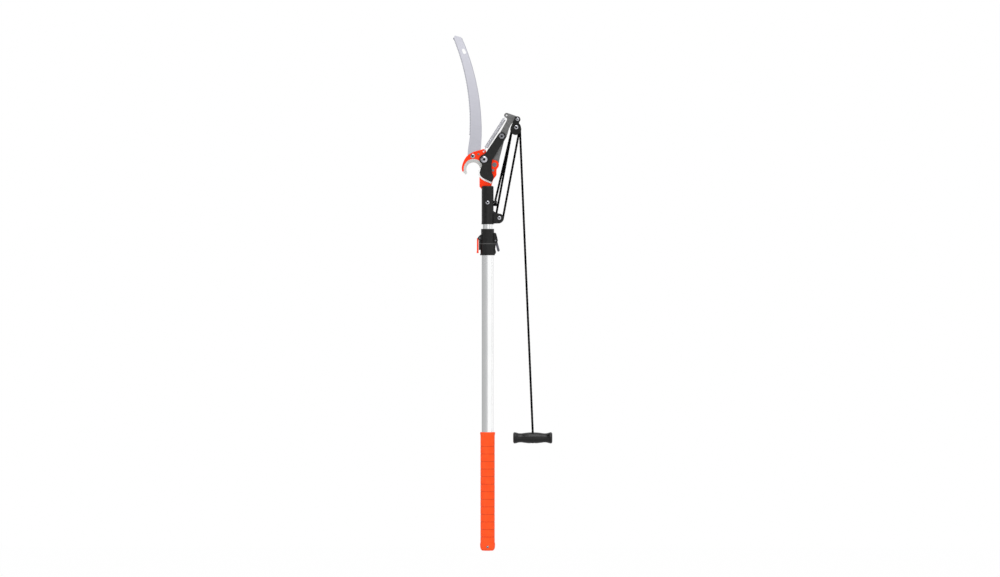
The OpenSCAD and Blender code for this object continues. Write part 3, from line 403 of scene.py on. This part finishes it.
def phosphated_steel():
    """Phosphated steel plate: dull mid grey with cloudy crystal patches."""
    material, tree, at = begun("grey_phosphated_steel")
    crystals = noise(tree, at, 1.4, detail=5.0)
    tint = mixed(tree, spread(tree, noise(tree, at, 8)), "#6a6a6a", "#7a7a7a")
    return ended(material, tree, crystals, 0.02, {
        "Base Color": tint, "Metallic": 0.55, "Roughness": spread(tree, crystals, 0.42, 0.58)})


# The hook and the saw are laid out from the socket's top
SOCKET_TOP = 947.7


def bow_centre(root, tip, r):
    """Centre of the circle of radius r through a root and a tip, on the left of the way between them, as X and
    height."""
    p, q = np.array(root) + [0, SOCKET_TOP], np.array(tip) + [0, SOCKET_TOP]
    chord = q - p
    leftward = np.array([-chord[1], chord[0]]) / np.linalg.norm(chord)
    return (p + q) / 2 + leftward * math.sqrt(r * r - chord.dot(chord) / 4)


# Bows of the saw's toothed edge and back, and the heights between which a painted reflection brightens the saw
EDGE_R, BACK_R = 569, 600
EDGE_CENTRE = bow_centre((-48.5, 131.6), (-90, 383.2), EDGE_R)
BACK_CENTRE = bow_centre((-17, 100.4), (-59.2, 367.1), BACK_R)
PAINTED_REFLECTION_LOW, PAINTED_REFLECTION_HIGH = 1060, 1310


def saw_steel():
    """Taper ground and polished carbon steel: cool grey, made brighter towards the tip by a painted reflection,
    grinding lines across the blade, and painted shade darkening the teeth and a thin line along the back, both by
    distance from the bows' centres."""
    material, tree, at = begun("polished_saw_steel")
    lean = add(tree, "ShaderNodeMapping", {"Vector": at, "Rotation": (0, math.radians(-15), 0)})
    lines = noise(tree, lean, 0.8, (40, 1, 1))
    plate = mixed(tree, spread(tree, lines), "#dcdce6", "#e5e5ee")
    height = add(tree, "ShaderNodeSeparateXYZ", {0: at}).outputs["Z"]
    # painted reflection: the blade is brighter towards the tip
    painted_reflection = mixed(tree, ramp(tree, height, PAINTED_REFLECTION_LOW * MM, PAINTED_REFLECTION_HIGH * MM), "#e2e2e2", "#ffffff")
    plate = mixed(tree, 1.0, plate, painted_reflection, "MULTIPLY")
    flat = add(tree, "ShaderNodeVectorMath", {0: at, 1: (1, 0, 1)}, operation="MULTIPLY")
    from_edge, from_back = (
        add(tree, "ShaderNodeVectorMath", {0: flat, 1: (x * MM, 0, z * MM)}, operation="DISTANCE").outputs["Value"]
        for x, z in (EDGE_CENTRE, BACK_CENTRE))
    # painted shade: the teeth and a thin line along the back are darkened
    teeth = ramp(tree, from_edge, (EDGE_R + 2.2) * MM, (EDGE_R + 4.0) * MM, 1.0, 0.0)
    rolled = ramp(tree, from_back, (BACK_R - 1.6) * MM, (BACK_R - 0.5) * MM)
    clear_of_hook = ramp(tree, height, (SOCKET_TOP + 118) * MM, (SOCKET_TOP + 132) * MM)
    edges = add(tree, "ShaderNodeMath", {0: teeth, 1: rolled}, operation="MAXIMUM")
    dark = add(tree, "ShaderNodeMath", {0: edges, 1: clear_of_hook}, operation="MULTIPLY")
    tint = mixed(tree, dark, plate, "#9c9da8")
    return ended(material, tree, lines, 0.01, {
        "Base Color": tint, "Metallic": 1.0, "Roughness": spread(tree, lines, 0.30, 0.42)})


def plated(name, dark, light, size, rough_low, rough_high):
    """Plated steel of fasteners and wire: silver, faintly clouded in patches of the given size by its passivation."""
    material, tree, at = begun(name)
    clouds = noise(tree, at, size)
    tint = mixed(tree, spread(tree, clouds), dark, light)
    return ended(material, tree, clouds, 0.01, {
        "Base Color": tint, "Metallic": 1.0, "Roughness": spread(tree, clouds, rough_low, rough_high)})


def braided_polyester():
    """Braided polyester cord: black, each strand's crown a little paler, with fuzzy fibres half a millimetre across."""
    material, tree, at = begun("black_braided_polyester")
    fibres = noise(tree, at, 0.5)
    tint = mixed(tree, stored(tree, "crown"), "#040404", "#121213")
    return ended(material, tree, fibres, 0.05, {
        "Base Color": tint, "Roughness": spread(tree, fibres, 0.65, 0.90), "Specular IOR Level": 0.0})


# Finishes: a name with a dark and a light tone; fine_skin and plated go on with the size of their pits or clouds in
# millimetres and the span of their roughness, and powder_coat and fine_skin end with their shine
ALUMINIUM = anodised_aluminium()
GRIP_RUBBER = rubber_grip()
ORANGE_PAINT = powder_coat("orange_powder_coat", "#f6350a", "#ff3a0e", 0.14)
BLACK_PAINT = powder_coat("black_powder_coat", "#131313", "#191919", 0.2)
BLADE_EDGE_STEEL = ground_steel("ground_edge_steel", "#fafafa", "#ffffff")
HOOK_MOUTH_STEEL = ground_steel("ground_mouth_steel", "#bcbdbb", "#cdcecc")
BLADE_COAT = fine_skin("black_non_stick_coating", "#1b1b1b", "#222222", 0.8, 0.42, 0.56, 0.2)
BLACK_NYLON = fine_skin("black_glass_filled_nylon", "#151515", "#1a1a1a", 0.9, 0.34, 0.44, 0.25)
HANDLE_NYLON = fine_skin("black_polished_nylon", "#050505", "#080808", 2.4, 0.24, 0.32, 0.42)
# painted highlight along the collar's step
COLLAR_NYLON = fine_skin("black_nylon_highlight_at_step", "#151515", "#1a1a1a", 0.9, 0.34, 0.44, 0.25, step_highlight_height=797.7)
ORANGE_NYLON = fine_skin("orange_nylon", "#ee380a", "#f84210", 1.2, 0.45, 0.60, 0.15)
GREY_PLASTIC = fine_skin("grey_acetal", "#54535b", "#5f5e66", 0.9, 0.40, 0.55, 0.2)
SHEAVE_NYLON = fine_skin("dark_sheave_nylon", "#1c1c1d", "#272728", 1.2, 0.40, 0.55, 0.2)
# painted shade for the walls of the key recesses
RECESS_SHADE = fine_skin("painted_shade_in_key_recess", "#17171a", "#26262a", 0.6, 0.55, 0.70, 0.1)
LEVER_STEEL = phosphated_steel()
SAW_STEEL = saw_steel()
ZINC = plated("bright_zinc_plate", "#b4b6c0", "#c9c9cb", 3, 0.20, 0.32)
DULL_ZINC = plated("dull_zinc_plate", "#7e7f86", "#96969b", 2, 0.34, 0.46)
SPRING_WIRE = plated("plated_spring_wire", "#d4d4da", "#eaeaee", 0.6, 0.26, 0.40)
ROPE = braided_polyester()


# Rope: one path from the knot on the socket's lug, round the tackle and down to the handle. The values are its radius,
# the braid's length, depth and columns, the radius at which it runs round a sheave, the step between rows, and how far
# above the handle's middle the pull line ends

ROPE_R = 2.9
BRAID_LEN = 9.3
BRAID_DEEP = 0.28
BRAID_COLUMNS = 24
SHEAVE_R = 9.5
STEP = 0.75
LINE_END = 16
REAR, FRONT, LOWER = pivot("rear_sheave_spin"), pivot("front_sheave_spin"), pivot("lower_sheave_spin")
KNOT_TOP = pivot("standing_swing")
HANDLE = corners("pull_handle").mean(0)
PULL_FOOT = np.array([HANDLE[0], FRONT[1], HANDLE[2] + LINE_END])


def touch(point, centre, side):
    """Angle on a sheave's pitch circle where a straight rope from point meets it."""
    d = point - centre
    return math.degrees(math.atan2(d[2], d[0]) + side * math.acos(SHEAVE_R / math.hypot(d[0], d[2])))


def round_sheave(at, a0, a1):
    """Rope's path over a sheave, about one step between its points."""
    count = int(abs(math.radians(a1 - a0)) * SHEAVE_R / STEP) + 2
    return polar(at, SHEAVE_R, np.linspace(a0, a1, count), at[1])


run = REAR - LOWER
left = math.degrees(math.atan2(run[0], -run[2]))
over_rear = round_sheave(REAR, touch(KNOT_TOP, REAR, -1) % 360, left - 180)
under_lower = round_sheave(LOWER, left + 180, left)
over_front = round_sheave(FRONT, left, touch(PULL_FOOT, FRONT, 1))
ROUTE = {
    "rope_standing_braid": straight(KNOT_TOP, over_rear[0], STEP),
    "rope_over_rear_sheave": over_rear,
    "rope_rear_fall": straight(over_rear[-1], under_lower[0], STEP),
    "rope_under_lower_sheave": under_lower,
    "rope_front_fall": straight(under_lower[-1], over_front[0], STEP),
    "rope_over_front_sheave": over_front,
    "rope_pull_braid": straight(over_front[-1], PULL_FOOT, STEP),
}


def braided(name, path, start):
    """Eight-strand braid: radius r - d (1 - h), h = |sin(2f + qs) sin(2f - qs)|^0.6, s along the rope, f round it."""
    s = start + np.concatenate([[0], np.cumsum(np.linalg.norm(np.diff(path, axis=0), axis=1))])
    f = np.linspace(0, 2 * np.pi, BRAID_COLUMNS, endpoint=False)[None, :]
    q = np.pi / BRAID_LEN * s[:, None]
    h = np.abs(np.sin(2 * f + q) * np.sin(2 * f - q)) ** 0.6
    piece = solid(name, swept(path, ROPE_R - BRAID_DEEP * (1 - h), BRAID_COLUMNS, (0, 1, 0)), ROPE, sharp=180)
    crown = np.full(len(piece.data.vertices), 0.4)
    crown[:h.size] = h.ravel()
    mark(piece, "crown", crown)
    return piece, s[-1]


braid, along = {}, 0.0
for part, path in ROUTE.items():
    braid[part], along = braided(part, path, along)


def gathered(piece, node):
    """A straight run, on a mesh of its own, that rides with the node's body."""
    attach(piece, BODY_OF[node])
    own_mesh(piece)


# The straight runs ride with the standing part's and the loop's bodies
gathered(braid["rope_standing_braid"], "rope_standing_part")
for part in ("rope_rear_fall", "rope_front_fall"):
    gathered(braid[part], "rope_loop")
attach(braid["rope_over_rear_sheave"], BODY_OF["rope_bends"])
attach(braid["rope_over_front_sheave"], BODY_OF["rope_bends"])
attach(braid["rope_under_lower_sheave"], BODY_OF["rope_loop"])
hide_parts("rope_standing_part")
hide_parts("rope_bends")
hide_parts("rope_loop")

pull_line = braid["rope_pull_braid"]
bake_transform(pull_line)
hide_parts("rope_pull_line")


def barrel_knot(name, node, axis, above, r, half, tail):
    """Wrapped stopper knot: barrel r cos^0.35(a) with a helical ridge |cos(f/2 + 2.5a)|, a its latitude, its middle on
    the axis so far above the node's foot, and a tail of rope above."""
    centre = np.array([axis[0], axis[1], corners(node)[0][2] + above])
    a = np.linspace(-np.pi / 2, np.pi / 2, 41)[1:-1, None]
    f = np.linspace(0, 2 * np.pi, 40, endpoint=False)[None, :]
    wrap = np.abs(np.cos(f / 2 + 2.5 * a)) ** 0.7
    flat = r * np.cos(a) ** 0.35 * (0.90 + 0.10 * wrap)
    rows = np.stack([flat * np.cos(f), flat * np.sin(f), np.broadcast_to(half * np.sin(a), flat.shape)], -1)
    knot = solid(name, rows + centre, ROPE, sharp=180)
    crown = np.full(len(knot.data.vertices), 0.3)
    crown[:wrap.size] = wrap.ravel()
    mark(knot, "crown", crown)
    stands_for(knot, node)
    stem, _ = braided(name + "_stem", straight(centre + np.array([0, 0, half * 0.6]), tail, STEP), 0)
    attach(stem, BODY_OF[node])


barrel_knot("socket_stopper_knot", "rope_knot", axis=KNOT_TOP, above=3.6, r=5.4, half=3.8, tail=KNOT_TOP)
barrel_knot("handle_stopper_knot", "handle_knot", axis=HANDLE, above=3.2, r=6.0, half=5.2, tail=PULL_FOOT)


# Springs

SPRING_FOOT = pivot("spring_swing")
SPRING_AXIS = unit(np.array(JOINTS["spring_stretch"]["axis"], float))
SPRING_LEFT = np.array([-SPRING_AXIS[2], 0, SPRING_AXIS[0]])
SPRING_LEN, HOOK_LEN, SPRING_Y = 111.58, 12.0, -3.1
CURLS, CURL_POINTS, COIL_R, WIRE_R = 36, 26, 4.2, 0.9
LATCH_TURNS, LATCH_WIRE_R = 2, 0.35


def on_spring(s, across, depth):
    """Point at s along the spring's axis, across it in the plane of the head, and depth behind its middle."""
    s, across, depth = np.broadcast_arrays(s, across, depth)
    at = SPRING_FOOT + s[:, None] * SPRING_AXIS + across[:, None] * SPRING_LEFT
    at[:, 1] = SPRING_Y + depth
    return at


turn = np.linspace(0, CURLS + 0.5, int((CURLS + 0.5) * CURL_POINTS) + 1)
coil = on_spring(
    HOOK_LEN + (SPRING_LEN - 2 * HOOK_LEN) * turn / CURLS,
    COIL_R * np.sin(2 * np.pi * turn), -COIL_R * np.cos(2 * np.pi * turn))
foot_hook = on_spring(
    np.array([2.0, 0.8, 0.8, 1.1, 2.3, 6.0, 10.6]), np.array([0, 0, 0, 0, 0, 0, -0.5]),
    np.array([8.6, 6.6, 0, -3.0, -4.2, -4.2, -4.2]))
top_hook = on_spring(
    np.array([101.6, 103.6, 106.6, 109.3, 110.78, 110.78, 109.6]), np.array([0.5, 0, 0, 0, 0, 0, 0]),
    np.array([4.2, 4.2, 4.2, 4.4, 5.7, 10.7, 12.7]))
wire = np.concatenate([through(foot_hook, 7), coil, through(top_hook, 7)])
spring = solid("return_spring_wound", swept(wire, WIRE_R, 10, (1, 0, 0)), SPRING_WIRE, sharp=80)
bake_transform(spring)
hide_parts("return_spring", "spring_hook")

low, high = corners("latch_spring")
turn = np.linspace(0, LATCH_TURNS, 73)
latch_coil = polar(pivot("latch_press"), (high[0] - low[0]) / 2 - LATCH_WIRE_R, 360 * turn, 0)
latch_coil[:, 1] = low[1] + LATCH_WIRE_R + (high[1] - low[1] - 2 * LATCH_WIRE_R) * turn / LATCH_TURNS
latch_spring = solid("latch_spring_wound", swept(latch_coil, LATCH_WIRE_R, 8, (0, 1, 0)), SPRING_WIRE, sharp=80)
stands_for(latch_spring, "latch_spring")


# Pole: the grip's radius, its grooves' heights, depth and half width, its bore and the bore's floor, and the height and
# radius of its hanging hole

GRIP_R = 18.5
GROOVES = 271 - 19.6 * np.arange(13)
GROOVE_DEEP, GROOVE_HALF = 0.45, 1.05
GRIP_BORE, GRIP_FLOOR = 15.29, 20
HANG_Z, HANG_R = 10.4, 2.6


def grip_radius(z):
    """Grip's radius at height z, with rolled rims at both ends and rounded grooves, and the grooves' share, which also
    sets their painted shade.
    """
    rims = smoothstep(-z, -22.5, -17) + smoothstep(z, 298.5, 304)
    hollow = np.exp(-((z[:, None] - GROOVES) / GROOVE_HALF) ** 2).sum(1)
    return GRIP_R + rims - GROOVE_DEEP * hollow, hollow


foot = np.radians(np.linspace(-80, 0, 9))
around = (GROOVES[:, None] + np.linspace(-2.6, 2.6, 13)).ravel()
heights = np.unique(np.round(np.concatenate([np.linspace(14, 34, 21), around, np.linspace(272, 306.2, 30)]), 3))
grip_rows = np.concatenate([
    [[12.4, 0.0], [13.3, 0.15]],
    np.stack([13 + 6.5 * np.cos(foot), 14 * (1 + np.sin(foot))], -1)[:-1],
    np.stack([grip_radius(heights)[0], heights], -1),
    [[19.3, 306.9], [18.8, 307.6], [18.0, 307.95], [17.2, 308], [15.6, 308], [GRIP_BORE, 307.7],
     [GRIP_BORE, GRIP_FLOOR], [0.01, GRIP_FLOOR]],
])
grip = solid("grip_moulded", turned(grip_rows, 96), GRIP_RUBBER, sharp=50)
bored(grip, (0, -25, HANG_Z), (0, 25, HANG_Z), HANG_R)
place = spots(grip)
outside = np.hypot(place[:, 0], place[:, 1]) > 16.5
# the grooves' share, stored for the painted shade that darkens them
mark(grip, "hollow", np.where(outside, 0.8 * grip_radius(place[:, 2])[1], 0))
stands_for(grip, "grip")

# Eyelet that lines the hanging hole: a thin tube with a rolled flange at each end
eyelet_half = np.array([
    [2.55, 0], [2.55, 18.5], [3.2, 18.6], [3.2, 19.3], [2.9, 19.6], [1.9, 19.6], [1.6, 19.3], [1.6, 0]])
eyelet_rows = np.concatenate([eyelet_half, eyelet_half[-2:0:-1] * [1, -1]])
eyelet = solid("hanging_eyelet", turned(eyelet_rows, 40, "y", (0, 0, HANG_Z)), DULL_ZINC, round_rows=True)
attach(eyelet, BODY_OF["grip"])


# The upper tube's flutes: their number, depth and the angle of the first one; and its latch holes
FLUTES, FLUTE_DEEP, FLUTE_TURN = 9, 0.5, 16
LATCH_HOLES, LATCH_TOP, LATCH_PITCH, LATCH_R = 7, 814.5, 100, 3.0
TUBE_COLUMNS = 180


def flute_share(f):
    """Share of a flute at each angle f: 0 on the round of the tube and 1 in the middle of one of its even flutes."""
    return smoothstep(np.cos(FLUTES * (f - math.radians(FLUTE_TURN))), 0.66, 0.96)


def tube(name, bottom, top, outside, bore, fluted=False):
    """Drawn tube: radius outside less FLUTE_DEEP in each of its flutes, rounded lips, and a plain bore."""
    rows = np.array([
        [bore, top - 0.3], [bore + 0.25, top], [outside - 0.3, top], [outside, top - 0.4],
        [outside, bottom + 0.4], [outside - 0.3, bottom], [bore + 0.25, bottom], [bore, bottom + 0.3]])
    points = turned(rows, TUBE_COLUMNS)
    if fluted:
        dip = FLUTE_DEEP * flute_share(np.linspace(0, 2 * np.pi, TUBE_COLUMNS, endpoint=False))
        points[2:6, :, :2] *= (1 - dip / outside)[None, :, None]
    return solid(name, points, ALUMINIUM, round_rows=True, sharp=30)


outer_tube = tube("outer_tube_drawn", bottom=20, top=800, outside=15.25, bore=13.75)
stands_for(outer_tube, "outer_tube")
inner_tube = tube("inner_tube_fluted", bottom=34, top=935, outside=12.5, bore=11.2, fluted=True)
for z in LATCH_TOP - LATCH_PITCH * np.arange(LATCH_HOLES):
    bored(inner_tube, (5, 0, z), (20, 0, z), LATCH_R, sharp=30)
place = spots(inner_tube)
# the flutes' share, stored for the painted shade that darkens them
mark(inner_tube, "flute", flute_share(np.arctan2(place[:, 1], place[:, 0])))
stands_for(inner_tube, "inner_tube")


# Pull handle: rows of radius and distance from its middle, with a waist near each end and a fine line before each end
# rim; the rope's hole goes through its middle, and the knot's pit is in its underside

HANDLE_R, ROPE_HOLE_R, PIT_R, PIT_DEEP = 14.4, 3.1, 7.0, 11
DRILL_REACH = np.array([0, 0, 30])
half_profile = through(np.array([
    [HANDLE_R, 0], [14.15, 10.2], [13.1, 20.4], [11.9, 29.6], [12.3, 36.7], [13.7, 41.8], [14.15, 43.4],
    [13.75, 43.9], [14.45, 44.5], [14.7, 47.3], [13.9, 49.2], [12.3, 50.4], [9.7, 51.0]]), 6)
handle_rows = np.concatenate([half_profile[::-1] * [1, -1], half_profile[1:]])
handle = solid("pull_handle_moulded", turned(handle_rows, 80, "x", HANDLE), HANDLE_NYLON, sharp=50)
bored(handle, HANDLE - DRILL_REACH, HANDLE + DRILL_REACH, ROPE_HOLE_R)
bored(handle, HANDLE - DRILL_REACH, HANDLE + [0, 0, PIT_DEEP - HANDLE_R], PIT_R)
stands_for(handle, "pull_handle")


# Plates, mouldings and fasteners

# Ground bevels look only partly to the front. The hook's is within MOUTH_R of its mouth's middle, and its tip is bare
# on the mouth's side of a slanting line. The blade's is within EDGE_REACH of its pivot
MOUTH, MOUTH_R, EDGE_REACH = np.array([-37.5, 0, SOCKET_TOP + 43.3]), 32, 90
TIP_LINE, TIP_SIDE = np.array([-62.5, 0, 986.5]), np.array([0.9, 0, -0.42])
hook = eased("hook_plate", 0.45, ORANGE_PAINT, HOOK_MOUTH_STEEL)
bm = bmesh.new()
bm.from_mesh(hook.data)
bmesh.ops.bisect_plane(bm, geom=bm.verts[:] + bm.edges[:] + bm.faces[:], plane_co=TIP_LINE * MM, plane_no=TIP_SIDE)
bm.to_mesh(hook.data)
bm.free()
middle, lean = face_lie(hook)
mouth = (lean > 0.5) & (lean < 0.985) & (np.linalg.norm(middle - MOUTH, axis=1) < MOUTH_R)
tip = ((middle - TIP_LINE) @ TIP_SIDE > 0) & (middle[:, 2] < MOUTH[2]) & (middle[:, 0] < -50)
repainted(hook, mouth | tip)

blade = eased("cutting_blade", 0.2, BLADE_COAT, BLADE_EDGE_STEEL)
middle, lean = face_lie(blade)
near = np.linalg.norm(middle - pivot("blade_cut"), axis=1) < EDGE_REACH
repainted(blade, (lean > 0.45) & (lean < 0.98) & near)

# Node, width that its edges are eased by, finish, and the radius and depth of its key recess if it has one
for node, width, material in (
    ("saw_blade", 0, SAW_STEEL), ("socket", 0.5, BLACK_NYLON), ("lock_collar", 0.5, COLLAR_NYLON),
    ("lock_lever", 0.9, ORANGE_NYLON), ("latch_trigger", 0.6, GREY_PLASTIC),
    ("pull_lever", 0.35, LEVER_STEEL), ("block_cheeks", 0.35, BLACK_PAINT), ("cross_nut", 0.4, ZINC),
    ("lock_pin", 0.4, DULL_ZINC), ("trigger_pin", 0.4, DULL_ZINC), ("blade_pivot_washer", 0.2, ZINC),
    ("blade_pivot_nut", 0.5, ZINC), ("lever_pivot_nut", 0.5, ZINC), ("lever_pivot_rivet", 0.2, LEVER_STEEL),
    ("stop_pin", 0.4, LEVER_STEEL), ("drive_nut", 0.5, LEVER_STEEL), ("drive_spacer", 0.3, ZINC),
    ("saw_nut", 0.4, ZINC), ("saw_rivet", 0.15, LEVER_STEEL), ("block_bushes", 0.2, ZINC),
    ("block_nut", 0.4, ZINC), ("lower_sheave", 0.3, SHEAVE_NYLON), ("front_sheave", 0.3, SHEAVE_NYLON),
    ("rear_sheave", 0.3, SHEAVE_NYLON), ("guide_sleeve", 0.3, SHEAVE_NYLON),
    ("guide_plug", 0.5, SHEAVE_NYLON),
):
    eased(node, width, material)

for node, width, material, key in (
    ("cross_screw", 0.2, ZINC, (2.6, 2.8)), ("lower_axle", 0.2, ZINC, (2.4, 1.6)),
    ("blade_pivot_bolt", 0.25, ZINC, (3.9, 3.4)), ("saw_bolt", 0.2, ZINC, (3.2, 2.2)),
    ("block_axle", 0.2, ZINC, (3.0, 1.9)), ("block_rivet", 0.2, ZINC, (1.9, 1.2)),
    ("drive_bolt", 0.4, DULL_ZINC, (2.9, 2.6)),
):
    eased(node, width, material, key=key)


# Studio, in metres

AMBIENT = 0.52
PAPER_GLOW = 0.96
FLOOR = -0.13
FLOOR_HALF, LOW_HALF, LOW_CARD = 3, 1, FLOOR + 0.005
FLAG_MIDDLE, FLAG_OFF = np.array([0, 0, 1.05]), 1.6


def seen_rays(tree):
    """1 for the rays that show the background: from the camera, in reflections and through clear materials."""
    rays = add(tree, "ShaderNodeLightPath").outputs
    seen = add(tree, "ShaderNodeMath", {0: rays["Is Camera Ray"], 1: rays["Is Glossy Ray"]}, operation="MAXIMUM")
    return add(tree, "ShaderNodeMath", {0: seen, 1: rays["Is Transmission Ray"]}, operation="MAXIMUM")


def sheet_of_stage(name, corner_points, material):
    """Flat staged sheet from four corners."""
    mesh = bpy.data.meshes.new(name)
    mesh.from_pydata(corner_points, [], [(0, 1, 2, 3)])
    mesh.materials.append(material)
    sheet = bpy.data.objects.new(name, mesh)
    scene.collection.objects.link(sheet)
    return sheet


def level(half, z):
    """Corners of a level square, half its side each way from the pole."""
    return [(-half, -half, z), (half, -half, z), (half, half, z), (-half, half, z)]


world = bpy.data.worlds.new("white_studio")
scene.world = world
world.use_nodes = True
tree = world.node_tree
tree.nodes.clear()
ambient = add(tree, "ShaderNodeBackground", {"Color": (1, 1, 1, 1), "Strength": AMBIENT})
white = add(tree, "ShaderNodeBackground", {"Color": (1, 1, 1, 1), "Strength": 1.0})
sky = add(tree, "ShaderNodeMixShader", {0: seen_rays(tree), 1: ambient, 2: white})
add(tree, "ShaderNodeOutputWorld", {"Surface": sky})

# Floor of white paper: all but white to the camera and in reflections, and it keeps the object's shadow. The tool is
# held up in use, and the floor lies under the lowest place of the pull handle
paper, tree, _ = begun("white_paper")
share = add(tree, "ShaderNodeMath", {0: seen_rays(tree), 1: PAPER_GLOW}, operation="MULTIPLY")
matt = add(tree, "ShaderNodeBsdfDiffuse", {"Color": (0.9, 0.9, 0.9, 1)})
glow = add(tree, "ShaderNodeEmission", {"Color": (1, 1, 1, 1), "Strength": 1.0})
blank = add(tree, "ShaderNodeMixShader", {0: share, 1: matt, 2: glow})
add(tree, "ShaderNodeOutputMaterial", {"Surface": blank})
sheet_of_stage("studio_floor", level(FLOOR_HALF, FLOOR), paper)

# Cards seen only in reflections, each with a tone for Y 1 and one for Y -5: one beside the pole shades the tube's left
# half, two behind it and on the floor give the tube its tone from the sides, the back and above, and a black flag above
# the camera on the left darkens that side of the domed heads
off, round_axis = np.radians([30, 98, 98, 30]), np.radians([105, 105, 170, 170])
flag_ways = np.stack([np.sin(off) * np.cos(round_axis), -np.cos(off), np.sin(off) * np.sin(round_axis)], -1)
for name, far, near, corner_points in (
    ("grey_card", (0.43, 0.435, 0.435, 1), (0.67, 0.67, 0.68, 1),
     [(2.8, -28, -0.5), (-1.4, 2.2, 0), (-1.4, 2.2, 0.9), (2.8, -28, 1.3)]),
    ("back_card", (0.5, 0.5, 0.51, 1), (0.5, 0.5, 0.51, 1),
     [(-2.5, 2.5, -0.2), (1.6, 2.5, -0.2), (1.6, 2.5, 1.0), (-2.5, 2.5, 1.0)]),
    ("floor_card", (0.7, 0.7, 0.71, 1), (0.7, 0.7, 0.71, 1), level(LOW_HALF, LOW_CARD)),
    ("black_flag", (0.05, 0.05, 0.055, 1), (0.05, 0.05, 0.055, 1), (flag_ways * FLAG_OFF + FLAG_MIDDLE).tolist()),
):
    card_paper, tree, at = begun(name)
    depth = add(tree, "ShaderNodeSeparateXYZ", {0: at}).outputs["Y"]
    grey = mixed(tree, ramp(tree, depth, 1.0, -5.0), far, near)
    glow = add(tree, "ShaderNodeEmission", {"Color": grey, "Strength": 1.0})
    add(tree, "ShaderNodeOutputMaterial", {"Surface": glow})
    card = sheet_of_stage(name, corner_points, card_paper)
    card.visible_camera = False
    card.visible_diffuse = False
    card.visible_shadow = False

# Lamps: strength, angle and turn in degrees, and whether they show in reflections
for name, strength, angle, turn, shines in (
    ("key_lamp", 0.8, 90, (58, 0, 50), False),
    ("top_lamp", 1.1, 50, (34, 0, 0), True),
    ("fill_lamp", 0.6, 60, (72, 0, -72), False),
    ("front_lamp", 0.4, 60, (104, 0, 0), False),
):
    lamp = bpy.data.objects.new(name, bpy.data.lights.new(name, "SUN"))
    lamp.data.energy = strength
    lamp.data.angle = math.radians(angle)
    lamp.rotation_euler = tuple(math.radians(a) for a in turn)
    lamp.visible_glossy = shines
    scene.collection.objects.link(lamp)
